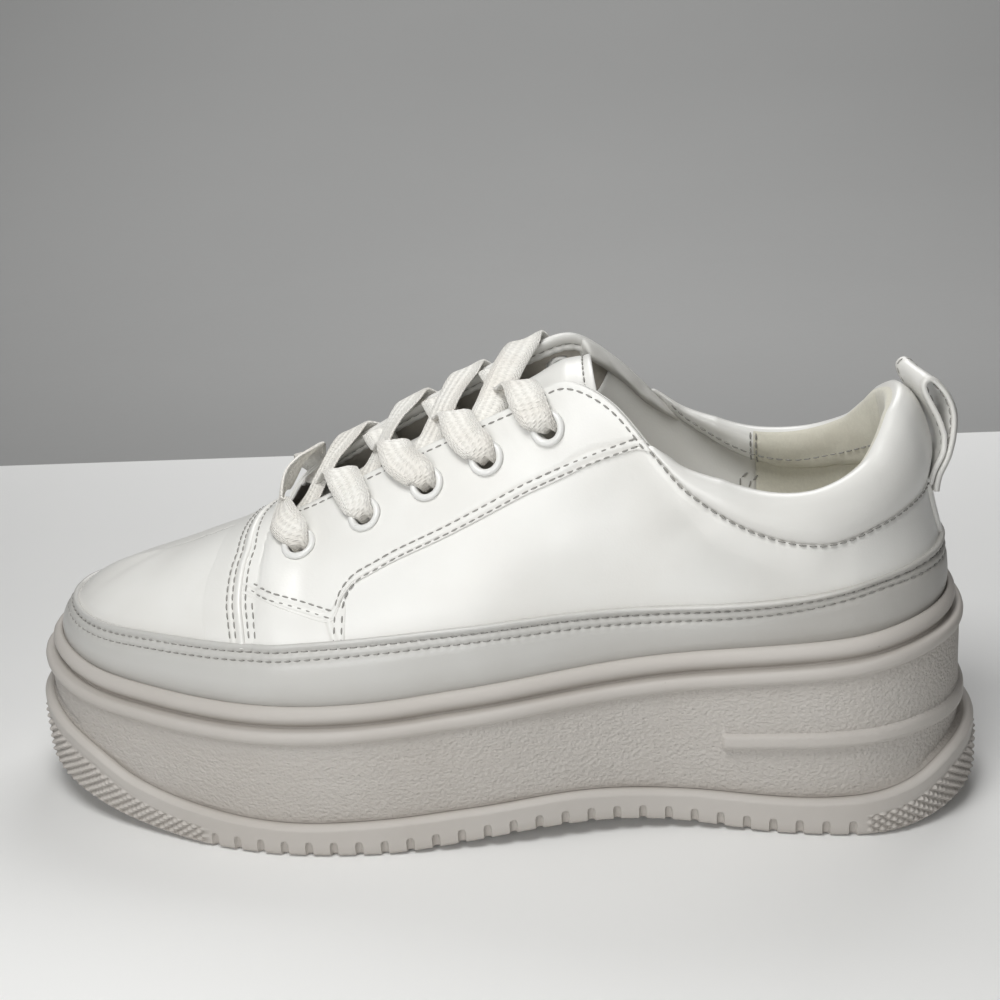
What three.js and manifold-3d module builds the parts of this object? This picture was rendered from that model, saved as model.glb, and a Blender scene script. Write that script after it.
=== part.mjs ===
// Platform sneaker, left shoe. Millimetres, +Z up, toe towards -X, outer side towards -Y.
// The origin is on the ground under the middle of the sole.
import * as THREE from 'three';
import { mergeVertices } from 'three/addons/utils/BufferGeometryUtils.js';
import Module from 'manifold-3d';

const wasm = await Module();
wasm.setup();

// ---- driving dimensions -------------------------------------------------------------
const LENGTH = 285;             // sole, toe tip to heel back
const GAP = 0.3;                // clearance between pieces that touch
const SOLE_STEPS = 32;          // steps along each side of the sole
const OUTER = -1;               // the little-toe side, towards -Y
const INNER = 1;

const TOE_CAP = { length: 0.27, power: 2.3 };
const HEEL_CAP = { length: 0.14, power: 2.2 };
const TOE_SWING = { reach: 0.45, offset: 10, power: 1.5 };   // toe turned to the big-toe side
// half widths of the sole; u runs from the toe tip (0) to the heel back (1)
const OUTLINE = [
  { u: 0.00, outer: 46.6, inner: 46.6 },
  { u: 0.15, outer: 48.0, inner: 46.6 },
  { u: 0.32, outer: 54.9, inner: 51.1 },
  { u: 0.50, outer: 49.4, inner: 42.5 },
  { u: 0.68, outer: 39.0, inner: 36.2 },
  { u: 0.85, outer: 43.0, inner: 43.0 },
  { u: 1.00, outer: 40.7, inner: 40.7 },
];
const CENTRING = 0.3;           // brings the outline's widest points level about the origin

const TOE_SPRING = { reach: 0.24, rise: 13 };
const HEEL_SPRING = { reach: 0.12, rise: 5.3 };
const ARCH = { centre: 0.6, reach: 0.2, rise: 4 };   // flat on the ground before and behind it
// heights of the side band's top and of the ledge round the platform
const HEIGHTS = [
  { u: 0.00, band: 33.0, ledge: 45.5 },
  { u: 0.05, band: 27.0, ledge: 41.9 },
  { u: 0.09, band: 22.5, ledge: 40.0 },
  { u: 0.14, band: 15.8, ledge: 38.8 },
  { u: 0.20, band: 11.9, ledge: 37.8 },
  { u: 0.30, band: 9.4, ledge: 37.2 },
  { u: 0.40, band: 9.8, ledge: 37.8 },
  { u: 0.50, band: 11.6, ledge: 40.1 },
  { u: 0.60, band: 13.2, ledge: 42.5 },
  { u: 0.70, band: 11.6, ledge: 45.1 },
  { u: 0.80, band: 10.4, ledge: 48.2 },
  { u: 0.88, band: 11.6, ledge: 51.0 },
  { u: 0.93, band: 14.6, ledge: 53.0 },
  { u: 0.97, band: 20.0, ledge: 54.6 },
  { u: 1.00, band: 22.5, ledge: 55.8 },
];

const PLATE = 6;                // tread plate
const RIM = 3.8;                // side band
const SLOTS = { count: 26, first: 0.235, pitch: 7.18, width: 2.3, depth: 1.2, rise: 4.6, groove: 1.2 };
const LIP = 3.8;                // upright lip under the ledge
const BEAD = 6.4;               // height of the bead above the ledge
const FEATHER = 9.4;            // upper's foot, in from the sole's edge
const TUCK = 9;                 // upper's margin hidden in the cup
const WALL = 2.2;               // upper, leather and lining together
const INSOLE = 4.5;
const RIDGE = { from: 0.74, proud: 1.3, height: 4, top: 28.4, climb: 3.6 };   // rib round the heel
const HEEL_LEAN = { reach: 0.16, inset: 2.2 };     // platform's wall leans in at the heel

// The last, a row for each rib. s runs from the toe tip (0) to the heel back (1).
const THROAT = 0.36;
const VAMP_RIDGE = [            // where the front ribs of both sides meet
  { s: 0.00, x: -100, y: 5.4, z: 72.3 },
  { s: 0.10, x: -97, y: 5.1, z: 73.0 },
  { s: 0.20, x: -88, y: 4.4, z: 75.6 },
  { s: 0.30, x: -70, y: 3.2, z: 82.2 },
  { s: 0.36, x: -57, y: 2.4, z: 88.0 },
];
const TOPLINE = [               // the throat's edge, the top corner, then the collar seam
  { s: 0.36, x: -57.0, outerY: 2.4, outerZ: 88.0, innerY: 2.4, innerZ: 88.0 },
  { s: 0.375, x: -54.5, outerY: -5.6, outerZ: 87.7, innerY: 9.4, innerZ: 92.2 },
  { s: 0.39, x: -49.0, outerY: -9.2, outerZ: 89.8, innerY: 12.2, innerZ: 96.5 },
  { s: 0.45, x: -26.0, outerY: -13.0, outerZ: 101.3, innerY: 13.6, innerZ: 109.5 },
  { s: 0.50, x: -2.0, outerY: -15.2, outerZ: 112.0, innerY: 15.8, innerZ: 120.5 },
  { s: 0.56, x: 18.0, outerY: -18.0, outerZ: 120.9, innerY: 19.0, innerZ: 129.0 },
  { s: 0.59, x: 29.5, outerY: -21.0, outerZ: 126.6, innerY: 23.0, innerZ: 130.8 },
  { s: 0.62, x: 41.5, outerY: -26.0, outerZ: 121.8, innerY: 28.0, innerZ: 122.0 },
  { s: 0.66, x: 53.0, outerY: -32.5, outerZ: 108.9, innerY: 33.0, innerZ: 108.9 },
  { s: 0.70, x: 62.0, outerY: -36.0, outerZ: 99.0, innerY: 36.0, innerZ: 99.0 },
  { s: 0.76, x: 79.0, outerY: -37.6, outerZ: 88.2, innerY: 37.6, innerZ: 88.2 },
  { s: 0.82, x: 97.0, outerY: -36.6, outerZ: 83.9, innerY: 36.6, innerZ: 83.9 },
  { s: 0.88, x: 113.0, outerY: -28.6, outerZ: 86.8, innerY: 28.6, innerZ: 86.8 },
  { s: 0.94, x: 124.6, outerY: -15.2, outerZ: 90.2, innerY: 15.2, innerZ: 90.2 },
  { s: 1.00, x: 128.6, outerY: 0.0, outerZ: 91.6, innerY: 0.0, innerZ: 91.6 },
];
const SECTION = [               // how far each rib carries on outward before it bends
  { s: 0.00, foot: 9, lean: -2, reach: 17, drop: 0 },
  { s: 0.10, foot: 11, lean: -1.5, reach: 18, drop: 0 },
  { s: 0.20, foot: 15, lean: 0, reach: 22, drop: 0 },
  { s: 0.30, foot: 20, lean: 0.5, reach: 24, drop: 0 },
  { s: 0.36, foot: 22, lean: 0.5, reach: 22, drop: 1 },
  { s: 0.40, foot: 23, lean: 0.5, reach: 14, drop: 10 },
  { s: 0.50, foot: 24, lean: 1, reach: 11, drop: 15 },
  { s: 0.60, foot: 26, lean: 0, reach: 8, drop: 17 },
  { s: 0.70, foot: 20, lean: 3, reach: 2, drop: 16 },
  { s: 0.80, foot: 12, lean: 3, reach: 1, drop: 10 },
  { s: 0.90, foot: 11, lean: 2, reach: 1, drop: 11 },
  { s: 1.00, foot: 12, lean: 0.5, reach: 1.5, drop: 12 },
];
const COLLAR = [                // padded roll: rise above the seam, lean of the crest, thickness
  { s: 0.655, rise: 4.4, lean: 0.4, thick: 4.4 },
  { s: 0.70, rise: 6.4, lean: 0.8, thick: 6.8 },
  { s: 0.76, rise: 10.0, lean: 1.0, thick: 8.2 },
  { s: 0.82, rise: 13.2, lean: 1.2, thick: 8.4 },
  { s: 0.88, rise: 15.4, lean: 1.8, thick: 8.2 },
  { s: 0.91, rise: 19.6, lean: 2.8, thick: 8.2 },
  { s: 0.94, rise: 23.8, lean: 3.8, thick: 8.4 },
  { s: 1.00, rise: 25.6, lean: 4.4, thick: 8.8 },
];
const TONGUE = { from: 0.385, to: 0.585, thick: 3.6, arch: 0.34, pastX: 9, pastZ: 3 };
const TONGUE_EDGES = [          // how far up each facing it hangs, and how deep below
  { side: OUTER, t: 0.86, depth: 0.9 },
  { side: INNER, t: 0.8, depth: 2.2 },
];
const EYELET = { radius: 5, hole: 3.2, flange: 0.9, seat: 0.9 };
const EYELET_PAIRS = [          // place along the shoe and distance below the throat's edge
  { x: -48.5, below: 14.5 },
  { x: -28.6, below: 12.5 },
  { x: -10.2, below: 11.0 },
  { x: 7.0, below: 10.5 },
  { x: 24.6, below: 10.5 },
];
const LACE = { width: 9, thick: 1.6 };
const LOOP = { width: 16, low: 90, high: 125, twist: 32, axisX: 127 };

// ---- tables and curves --------------------------------------------------------------
// Smooth value of one column of a table; flat ends are for curves that carry on mirrored.
function smooth(rows, key, name, at, flatStart = false, flatEnd = false) {
  const last = rows.length - 1;
  const slope = (i) => {
    if ((i === 0 && flatStart) || (i === last && flatEnd)) return 0;
    const a = rows[Math.max(i - 1, 0)];
    const b = rows[Math.min(i + 1, last)];
    return (b[name] - a[name]) / (b[key] - a[key]);
  };
  let i = 0;
  while (i < last - 1 && at > rows[i + 1][key]) i += 1;
  const h = rows[i + 1][key] - rows[i][key];
  const t = (at - rows[i][key]) / h;
  const t2 = t * t;
  const t3 = t2 * t;
  return rows[i][name] * (2 * t3 - 3 * t2 + 1) + rows[i + 1][name] * (3 * t2 - 2 * t3)
    + h * slope(i) * (t3 - 2 * t2 + t) + h * slope(i + 1) * (t3 - t2);
}

const along = (s) => (1 - Math.cos(Math.PI * s)) / 2;
const fade = (v) => Math.min(Math.max(v, 0), 1);

function roundEnd(u, cap) {
  return (1 - fade(1 - u / cap.length) ** cap.power) ** (1 / cap.power);
}

function edgePoint(s, side) {
  const u = along(s);
  const half = smooth(OUTLINE, 'u', side === OUTER ? 'outer' : 'inner', u)
    * roundEnd(u, TOE_CAP) * roundEnd(1 - u, HEEL_CAP);
  const swing = TOE_SWING.offset * fade(1 - u / TOE_SWING.reach) ** TOE_SWING.power;
  return new THREE.Vector2(LENGTH * (u - 0.5), swing + CENTRING + side * half);
}

// Outward direction of the sole's edge in plan
function outward(s, side) {
  const step = 1e-3;
  if (s < step) return new THREE.Vector2(-1, 0);
  if (s > 1 - step) return new THREE.Vector2(1, 0);
  const way = edgePoint(s + step, side).sub(edgePoint(s - step, side)).normalize();
  return new THREE.Vector2(-side * way.y, side * way.x);
}

function soleEdge(s, side, inset) {
  return edgePoint(s, side).addScaledVector(outward(s, side), -inset);
}

function groundGap(u) {
  return TOE_SPRING.rise * fade(1 - u / TOE_SPRING.reach) ** 2
    + HEEL_SPRING.rise * fade(1 - (1 - u) / HEEL_SPRING.reach) ** 2
    + ARCH.rise * fade(1 - ((u - ARCH.centre) / ARCH.reach) ** 2) ** 2;
}
const bandTop = (u) => smooth(HEIGHTS, 'u', 'band', u);
const ledge = (u) => smooth(HEIGHTS, 'u', 'ledge', u);
const plateTop = (u) => groundGap(u) + PLATE;

// ---- building closed meshes ---------------------------------------------------------
function geometryOf(points, faces) {
  const geometry = new THREE.BufferGeometry();
  geometry.setAttribute('position', new THREE.Float32BufferAttribute(points.flatMap((p) => [p.x, p.y, p.z]), 3));
  geometry.setIndex(faces);
  return mergeVertices(geometry, 1e-3);
}

function withoutFlatFaces(geometry) {
  const index = geometry.index.array;
  const kept = [];
  for (let i = 0; i < index.length; i += 3) {
    const [a, b, c] = [index[i], index[i + 1], index[i + 2]];
    if (a !== b && b !== c && a !== c) kept.push(a, b, c);
  }
  geometry.setIndex(kept);
  return geometry;
}

function facingOut(geometry) {
  const index = geometry.index.array;
  const p = [0, 1, 2].map(() => new THREE.Vector3());
  let volume = 0;
  for (let i = 0; i < index.length; i += 3) {
    p.forEach((v, k) => v.fromBufferAttribute(geometry.attributes.position, index[i + k]));
    volume += p[0].dot(p[1].clone().cross(p[2]));
  }
  if (volume < 0) {
    const turned = [];
    for (let i = 0; i < index.length; i += 3) turned.push(index[i], index[i + 2], index[i + 1]);
    geometry.setIndex(turned);
  }
  return geometry;
}

// Joins loops of equal length into a closed body. Shoe-shaped loops are closed straight
// across from side to side, others with a fan.
function loft(loops, acrossEnds = false) {
  const n = loops[0].length;
  const points = loops.flat();
  const faces = [];
  for (let j = 0; j < loops.length - 1; j += 1) {
    for (let i = 0; i < n; i += 1) {
      const [a, b] = [j * n + i, j * n + ((i + 1) % n)];
      faces.push(a, b, b + n, a, b + n, a + n);
    }
  }
  for (const [start, turn] of [[0, true], [(loops.length - 1) * n, false]]) {
    const cap = [];
    if (acrossEnds) {
      for (let i = 0; i < n / 2; i += 1) {
        const [a, b] = [start + i, start + i + 1];
        const [c, d] = [start + ((n - i) % n), start + ((n - i - 1) % n)];
        cap.push([a, b, d], [a, d, c]);
      }
    } else {
      for (let i = 1; i < n - 1; i += 1) cap.push([start, start + i, start + i + 1]);
    }
    cap.forEach(([a, b, c]) => faces.push(...(turn ? [a, c, b] : [a, b, c])));
  }
  return facingOut(withoutFlatFaces(geometryOf(points, faces)));
}

// One ring round the sole; its inset may vary along the shoe, as its height does
function soleRing(inset, height) {
  const insetAt = typeof inset === 'number' ? () => inset : inset;
  const ring = [];
  for (let i = 0; i < 2 * SOLE_STEPS; i += 1) {
    const side = i <= SOLE_STEPS ? OUTER : INNER;
    const s = i <= SOLE_STEPS ? i / SOLE_STEPS : 2 - i / SOLE_STEPS;
    const p = soleEdge(s, side, insetAt(along(s)));
    ring.push(new THREE.Vector3(p.x, p.y, height(along(s))));
  }
  return ring;
}

// Thickens an open surface inwards by its own normals and closes it along its edges.
function shell(surface, thickness) {
  const outer = withoutFlatFaces(surface);
  outer.computeVertexNormals();
  const { position, normal } = outer.attributes;
  const count = position.count;
  const points = [];
  for (let i = 0; i < count; i += 1) points.push(new THREE.Vector3().fromBufferAttribute(position, i));
  for (let i = 0; i < count; i += 1) {
    points.push(points[i].clone().addScaledVector(new THREE.Vector3().fromBufferAttribute(normal, i), -thickness));
  }
  const index = outer.index.array;
  const faces = Array.from(index);
  const edges = new Set();
  for (let i = 0; i < index.length; i += 3) {
    const f = [index[i], index[i + 1], index[i + 2]];
    faces.push(f[0] + count, f[2] + count, f[1] + count);
    f.forEach((a, k) => edges.add(`${a},${f[(k + 1) % 3]}`));
  }
  for (const edge of edges) {
    const [a, b] = edge.split(',').map(Number);
    if (!edges.has(`${b},${a}`)) faces.push(a, b + count, b, a, a + count, b + count);
  }
  return facingOut(geometryOf(points, faces));
}

function toSolid(geometry) {
  const bare = new THREE.BufferGeometry();
  bare.setAttribute('position', geometry.attributes.position);
  bare.setIndex(geometry.index);
  const merged = geometry.index ? mergeVertices(bare, 1e-4) : mergeVertices(bare.toNonIndexed(), 1e-4);
  return new wasm.Manifold(new wasm.Mesh({
    numProp: 3,
    vertProperties: new Float32Array(merged.attributes.position.array),
    triVerts: new Uint32Array(merged.index.array),
  }));
}

function fromSolid(solid) {
  const { vertProperties, triVerts } = solid.getMesh();
  const geometry = new THREE.BufferGeometry();
  geometry.setAttribute('position', new THREE.BufferAttribute(new Float32Array(vertProperties), 3));
  geometry.setIndex(Array.from(triVerts));
  return geometry;
}

const shoe = new THREE.Group();
function add(name, geometry, color, roughness, metalness = 0) {
  const flat = geometry.toNonIndexed();
  flat.computeVertexNormals();
  const mesh = new THREE.Mesh(flat, new THREE.MeshStandardMaterial({ color, roughness, metalness }));
  mesh.name = name;
  shoe.add(mesh);
}
const RUBBER = [0xd6cfc9, 0.6];
const LEATHER = [0xe3e4df, 0.35];
const LINING = [0xcfc9b8, 0.9];
const COTTON = [0xe4e2dc, 0.9];

// ---- outsole ------------------------------------------------------------------------
function slotCutter(k) {
  const u = SLOTS.first + (k * SLOTS.pitch) / LENGTH;
  const s = Math.acos(1 - 2 * u) / Math.PI;
  const boxes = [];
  const bottom = groundGap(u);
  const reach = 70;
  const groove = new THREE.BoxGeometry(SLOTS.width, 2 * reach, 2 * SLOTS.groove);
  boxes.push(groove.translate(LENGTH * (u - 0.5), 0, bottom));
  for (const side of [OUTER, INNER]) {
    const p = soleEdge(s, side, 0);
    const n = outward(s, side);
    const slot = new THREE.BoxGeometry(2 * SLOTS.depth, SLOTS.width, 2 * SLOTS.rise);
    slot.rotateZ(Math.atan2(n.y, n.x)).translate(p.x, p.y, bottom);
    boxes.push(slot);
  }
  return boxes.map(toSolid).reduce((a, b) => a.add(b));
}

function outsole() {
  const rings = [
    soleRing(2.2, groundGap),
    soleRing(0.4, (u) => groundGap(u) + 1.0),
    soleRing(0, (u) => groundGap(u) + 0.35 * (bandTop(u) - groundGap(u))),
    soleRing(0.4, (u) => bandTop(u) - 0.9),
    soleRing(1.2, bandTop),
    soleRing(RIM, bandTop),
    soleRing(RIM, plateTop),
  ];
  let body = toSolid(loft(rings, true));
  for (let k = 0; k < SLOTS.count; k += 1) body = body.subtract(slotCutter(k));
  return fromSolid(body);
}
add('outsole', outsole(), ...RUBBER);

// ---- midsole ------------------------------------------------------------------------
function midsole() {
  const wallTop = (u) => ledge(u) - LIP;
  const cupFloor = (u) => ledge(u) + BEAD - TUCK - GAP;
  const ridgeTop = (u) => Math.min(RIDGE.top + RIDGE.climb * fade((u - RIDGE.from) / 0.2), wallTop(u) - 1);
  const ridgeFoot = (u) => Math.max(ridgeTop(u) - RIDGE.height, bandTop(u) + 1);
  const proud = (u) => RIDGE.proud * fade((u - RIDGE.from) / 0.01);
  // the wall leans in at the heel, less and less towards the upper's foot
  const lean = (inset) => (u) => inset
    + HEEL_LEAN.inset * fade(1 - (1 - u) / HEEL_LEAN.reach) * ((FEATHER - GAP - inset) / FEATHER);
  const rows = [
    { inset: RIM + GAP, z: (u) => plateTop(u) + GAP },
    { inset: RIM + GAP, z: (u) => bandTop(u) + GAP },
    { inset: 2.2, z: (u) => bandTop(u) + GAP },
    { inset: lean(3.2), z: ridgeFoot },
    { inset: (u) => lean(3.2)(u) - proud(u), z: (u) => ridgeFoot(u) + 0.5 },
    { inset: (u) => lean(3.4)(u) - proud(u), z: (u) => ridgeTop(u) - 0.5 },
    { inset: lean(3.4), z: ridgeTop },
    { inset: lean(3.3), z: (u) => wallTop(u) - 0.2 },
    { inset: lean(2.5), z: (u) => wallTop(u) + 0.4 },
    { inset: lean(2.4), z: (u) => ledge(u) - 0.3 },
    { inset: lean(2.9), z: ledge },
    { inset: lean(5.6), z: (u) => ledge(u) + 0.3 },
    { inset: lean(5.0), z: (u) => ledge(u) + 2.0 },
    { inset: lean(5.7), z: (u) => ledge(u) + 4.6 },
    { inset: lean(7.3), z: (u) => ledge(u) + BEAD - 0.2 },
    { inset: FEATHER - GAP, z: (u) => ledge(u) + BEAD - 0.5 },
    { inset: FEATHER - GAP, z: cupFloor },
  ];
  return loft(rows.map((row) => soleRing(row.inset, row.z)), true);
}
add('midsole', midsole(), ...RUBBER);

// ---- insole -------------------------------------------------------------------------
function insole() {
  const inset = FEATHER + WALL + 2 * GAP;
  const floor = (u) => ledge(u) + BEAD - TUCK + GAP;
  return loft([
    soleRing(inset, floor),
    soleRing(inset, (u) => floor(u) + INSOLE - 1),
    soleRing(inset + 1, (u) => floor(u) + INSOLE),
  ], true);
}
add('insole', insole(), ...LINING);

// ---- the upper's surface ------------------------------------------------------------
function ribTop(s, side) {
  if (s <= THROAT) {
    return new THREE.Vector3(...['x', 'y', 'z'].map((name) => smooth(VAMP_RIDGE, 's', name, s, true)));
  }
  const which = side === OUTER ? 'outer' : 'inner';
  return new THREE.Vector3(
    smooth(TOPLINE, 's', 'x', s, false, true),
    smooth(TOPLINE, 's', `${which}Y`, s),
    smooth(TOPLINE, 's', `${which}Z`, s, false, true),
  );
}

function ridgeSlope(s) {
  const step = 0.01;
  const at = Math.min(Math.max(s, step), THROAT - step);
  const way = ribTop(at + step, OUTER).sub(ribTop(at - step, OUTER));
  return s <= THROAT ? way.z / way.x : 0;
}

// t is 0 at the feather edge and 1 at the top; below 0 it goes down into the cup
function upperPoint(s, side, t) {
  const u = along(s);
  const foot2 = soleEdge(s, side, FEATHER);
  const foot = new THREE.Vector3(foot2.x, foot2.y, ledge(u) + BEAD);
  if (t <= 0) return foot.setZ(foot.z + t * TUCK);
  const n = outward(s, side);
  const value = (name) => smooth(SECTION, 's', name, s, true, true);
  const lean = value('lean');
  const low = foot.clone().add(new THREE.Vector3(n.x * lean, n.y * lean, value('foot')));
  const top = ribTop(s, side);
  const reach = value('reach');
  const high = top.clone().add(new THREE.Vector3(
    n.x * reach,
    n.y * reach,
    n.x * reach * ridgeSlope(s) - value('drop'),
  ));
  return new THREE.CubicBezierCurve3(foot, low, high, top).getPoint(t);
}

const FRONT_RIBS = 10;
const BACK_RIBS = 22;
function ribStations() {
  const list = [];
  for (let i = 0; i < FRONT_RIBS; i += 1) list.push((THROAT * i) / FRONT_RIBS);
  for (let i = 0; i <= BACK_RIBS; i += 1) list.push(THROAT + ((1 - THROAT) * i) / BACK_RIBS);
  return list;
}

function upperSurface() {
  const heights = [-1, 0, 0.16, 0.34, 0.52, 0.7, 0.86, 1];
  const stations = ribStations();
  const ribs = stations.map((s) => [s, OUTER]);
  for (let i = stations.length - 2; i > 0; i -= 1) ribs.push([stations[i], INNER]);
  const points = ribs.flatMap(([s, side]) => heights.map((t) => upperPoint(s, side, t)));
  const m = heights.length;
  const faces = [];
  ribs.forEach((rib, i) => {
    const next = ((i + 1) % ribs.length) * m;
    for (let j = 0; j < m - 1; j += 1) {
      const [a, b] = [i * m + j, next + j];
      faces.push(a, b, b + 1, a, b + 1, a + 1);
    }
  });
  return geometryOf(points, faces);
}

// Point on a facing at a length along the shoe and a distance below the throat's edge
function facingPoint(x, side, below) {
  let [low, high] = [THROAT, 0.64];
  let point;
  let s;
  let t;
  for (let step = 0; step < 30; step += 1) {
    s = (low + high) / 2;
    t = 1;
    point = upperPoint(s, side, 1);
    let run = 0;
    while (run < below) {
      t -= 0.01;
      const next = upperPoint(s, side, t);
      run += next.distanceTo(point);
      point = next;
    }
    if (point.x < x) low = s;
    else high = s;
  }
  const step = 0.01;
  const forward = upperPoint(s + step, side, t).sub(upperPoint(s - step, side, t)).normalize();
  const upward = upperPoint(s, side, t + step).sub(upperPoint(s, side, t - step)).normalize();
  const normal = forward.clone().cross(upward).multiplyScalar(-side).normalize();
  return { s, t, point, forward, upward, normal };
}

function eyeletSpot(k, side) {
  return facingPoint(EYELET_PAIRS[k].x, side, EYELET_PAIRS[k].below);
}

function placed(geometry, spot, outwardBy) {
  const turn = new THREE.Quaternion().setFromUnitVectors(new THREE.Vector3(0, 1, 0), spot.normal);
  const at = spot.point.clone().addScaledVector(spot.normal, outwardBy);
  return geometry.applyQuaternion(turn).translate(at.x, at.y, at.z);
}

// ---- upper --------------------------------------------------------------------------
const SPOTS = [OUTER, INNER].flatMap((side) => EYELET_PAIRS.map((row, k) => (
  { name: `eyelet_${side === OUTER ? 'outer' : 'inner'}_${k + 1}`, ...eyeletSpot(k, side) })));

function upper() {
  let body = toSolid(shell(upperSurface(), WALL));
  for (const spot of SPOTS) {
    const hole = new THREE.CylinderGeometry(EYELET.hole + 1.3, EYELET.hole + 1.3, 3 * WALL, 8);
    body = body.subtract(toSolid(placed(hole, spot, -WALL / 2)));
  }
  return fromSolid(body);
}
add('upper', upper(), ...LEATHER);

// ---- eyelets ------------------------------------------------------------------------
function eyelet(spot) {
  const { hole, radius, flange, seat } = EYELET;
  const barrel = hole + 0.6;
  const profile = [
    [hole, -WALL], [barrel, -WALL], [barrel, seat], [radius, seat], [radius - 0.4, seat + flange],
    [hole, seat + flange], [hole, -WALL],
  ].map(([r, y]) => new THREE.Vector2(r, y));
  const ring = new THREE.LatheGeometry(profile, 12);
  return facingOut(positionsOnly(placed(ring, spot, 0)));
}

function positionsOnly(geometry) {
  geometry.deleteAttribute('normal');
  geometry.deleteAttribute('uv');
  return withoutFlatFaces(mergeVertices(geometry, 1e-4));
}
SPOTS.forEach((spot) => add(spot.name, eyelet(spot), 0xe9e9e6, 0.35, 0.1));

// ---- collar roll --------------------------------------------------------------------
function collarLoop(s, side) {
  const value = (name) => smooth(COLLAR, 's', name, s, false, true);
  const [h, lean, thick] = ['rise', 'lean', 'thick'].map(value);
  const n = outward(s, side);
  const seam = upperPoint(s, side, 1);
  return [
    [0, 2 * GAP], [0.8, 0.25 * h], [0.5 - 0.3 * lean, 0.6 * h], [-0.7 * lean - 0.14 * thick, 0.88 * h],
    [-lean - 0.5 * thick, h], [-lean - 0.88 * thick, 0.86 * h], [-0.4 * lean - thick, 0.55 * h + 0.8],
    [-0.9 * thick, 0.25 * h + 1], [-0.6 * thick, GAP + 0.5],
  ].map(([out, up]) => new THREE.Vector3(seam.x + n.x * out, seam.y + n.y * out, seam.z + up));
}

function collar() {
  const steps = 16;
  const first = COLLAR[0].s;
  const loops = [];
  for (let i = -steps; i <= steps; i += 1) {
    const s = first + (1 - first) * (1 - Math.abs(i) / steps);
    loops.push(collarLoop(s, i < 0 ? OUTER : INNER));
  }
  return loft(loops);
}
add('collar', collar(), ...LEATHER);

// ---- tongue -------------------------------------------------------------------------
// Half sections hang from the facings' undersides and arch over the instep
function tonguePoint(s, across, depth) {
  const edges = TONGUE_EDGES.map(({ side, t, depth: below }) => {
    const step = 0.01;
    const p = upperPoint(s, side, t);
    const forward = upperPoint(s + step, side, t).sub(upperPoint(s - step, side, t)).normalize();
    const upward = upperPoint(s, side, t + step).sub(p).normalize();
    const normal = forward.clone().cross(upward).multiplyScalar(-side).normalize();
    return { foot: p.addScaledVector(normal, -WALL - below - depth), upward };
  });
  const reach = edges[0].foot.distanceTo(edges[1].foot) * TONGUE.arch;
  const [a, b] = edges.map(({ foot, upward }) => foot.clone().addScaledVector(upward, reach));
  return new THREE.CubicBezierCurve3(edges[0].foot, a, b, edges[1].foot).getPoint(across);
}

function tongue() {
  const [lengthSteps, widthSteps] = [9, 8];
  const loops = [];
  for (let i = 0; i <= lengthSteps + 1; i += 1) {
    const s = TONGUE.from + (TONGUE.to - TONGUE.from) * Math.min(i / lengthSteps, 1);
    const past = i > lengthSteps ? 1 : 0;
    const loop = [];
    for (let j = 0; j <= widthSteps; j += 1) loop.push(tonguePoint(s, j / widthSteps, 0));
    for (let j = widthSteps; j >= 0; j -= 1) loop.push(tonguePoint(s, j / widthSteps, TONGUE.thick));
    loop.forEach((p) => p.add(new THREE.Vector3(past * TONGUE.pastX, 0, past * TONGUE.pastZ)));
    loops.push(loop);
  }
  return loft(loops);
}
add('tongue', tongue(), ...LEATHER);

// ---- pull loop ----------------------------------------------------------------------
// A strip doubled on itself behind the heel, open as a loop at the top and turned a little
function pullLoop() {
  const at = ([x, z]) => new THREE.Vector2(x + 1, z);
  const outside = [
    [130.4, 90], [133.6, 94.5], [135.6, 101], [135.4, 107.5], [132.8, 114.5], [128.8, 120.6], [126, 124.2],
    [123.4, 124.6], [122, 122.4], [123.2, 119], [127, 113.4], [130.6, 107.6], [132.4, 102], [131.2, 96.5], [129.7, 93.4],
  ];
  const inside = [[126.6, 120], [124.6, 122.2], [124.4, 119.6], [128.4, 113.6], [131.8, 108.4], [132.2, 110.6], [130.6, 114]];
  const shape = new THREE.Shape(outside.map(at));
  shape.holes.push(new THREE.Path(inside.map(at)));
  const strip = new THREE.ExtrudeGeometry(shape, { depth: LOOP.width, bevelEnabled: false });
  strip.translate(-LOOP.axisX, 0, -LOOP.width / 2).rotateX(Math.PI / 2);
  const spots = strip.attributes.position;
  for (let i = 0; i < spots.count; i += 1) {
    const [x, y, z] = [spots.getX(i), spots.getY(i), spots.getZ(i)];
    const turn = THREE.MathUtils.degToRad(LOOP.twist * fade((z - LOOP.low) / (LOOP.high - LOOP.low)));
    spots.setXYZ(i, LOOP.axisX + x * Math.cos(turn) - y * Math.sin(turn), x * Math.sin(turn) + y * Math.cos(turn), z);
  }
  return facingOut(positionsOnly(strip));
}
add('pull_loop', pullLoop(), ...LEATHER);

// ---- laces --------------------------------------------------------------------------
// A flat band through the points, its width lying across the given direction
function band(points, across) {
  const path = new THREE.CatmullRomCurve3(points);
  const steps = 7;
  const loops = [];
  for (let i = 0; i <= steps; i += 1) {
    const p = path.getPoint(i / steps);
    const way = path.getTangent(i / steps);
    const wide = across.clone().addScaledVector(way, -across.dot(way)).normalize();
    const high = wide.clone().cross(way).normalize();
    loops.push([[1, 1], [1, -1], [-1, -1], [-1, 1]].map(([a, b]) => p.clone()
      .addScaledVector(wide, (a * LACE.width) / 2).addScaledVector(high, (b * LACE.thick) / 2)));
  }
  return loft(loops);
}

function overEyelet(k, side) {
  const spot = eyeletSpot(k, side);
  return spot.point.clone().addScaledVector(spot.normal, 3.8);
}

function overEdge(x, side, height) {
  const spot = facingPoint(x, side, 0.5);
  return spot.point.clone().addScaledVector(spot.normal, height);
}

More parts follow.
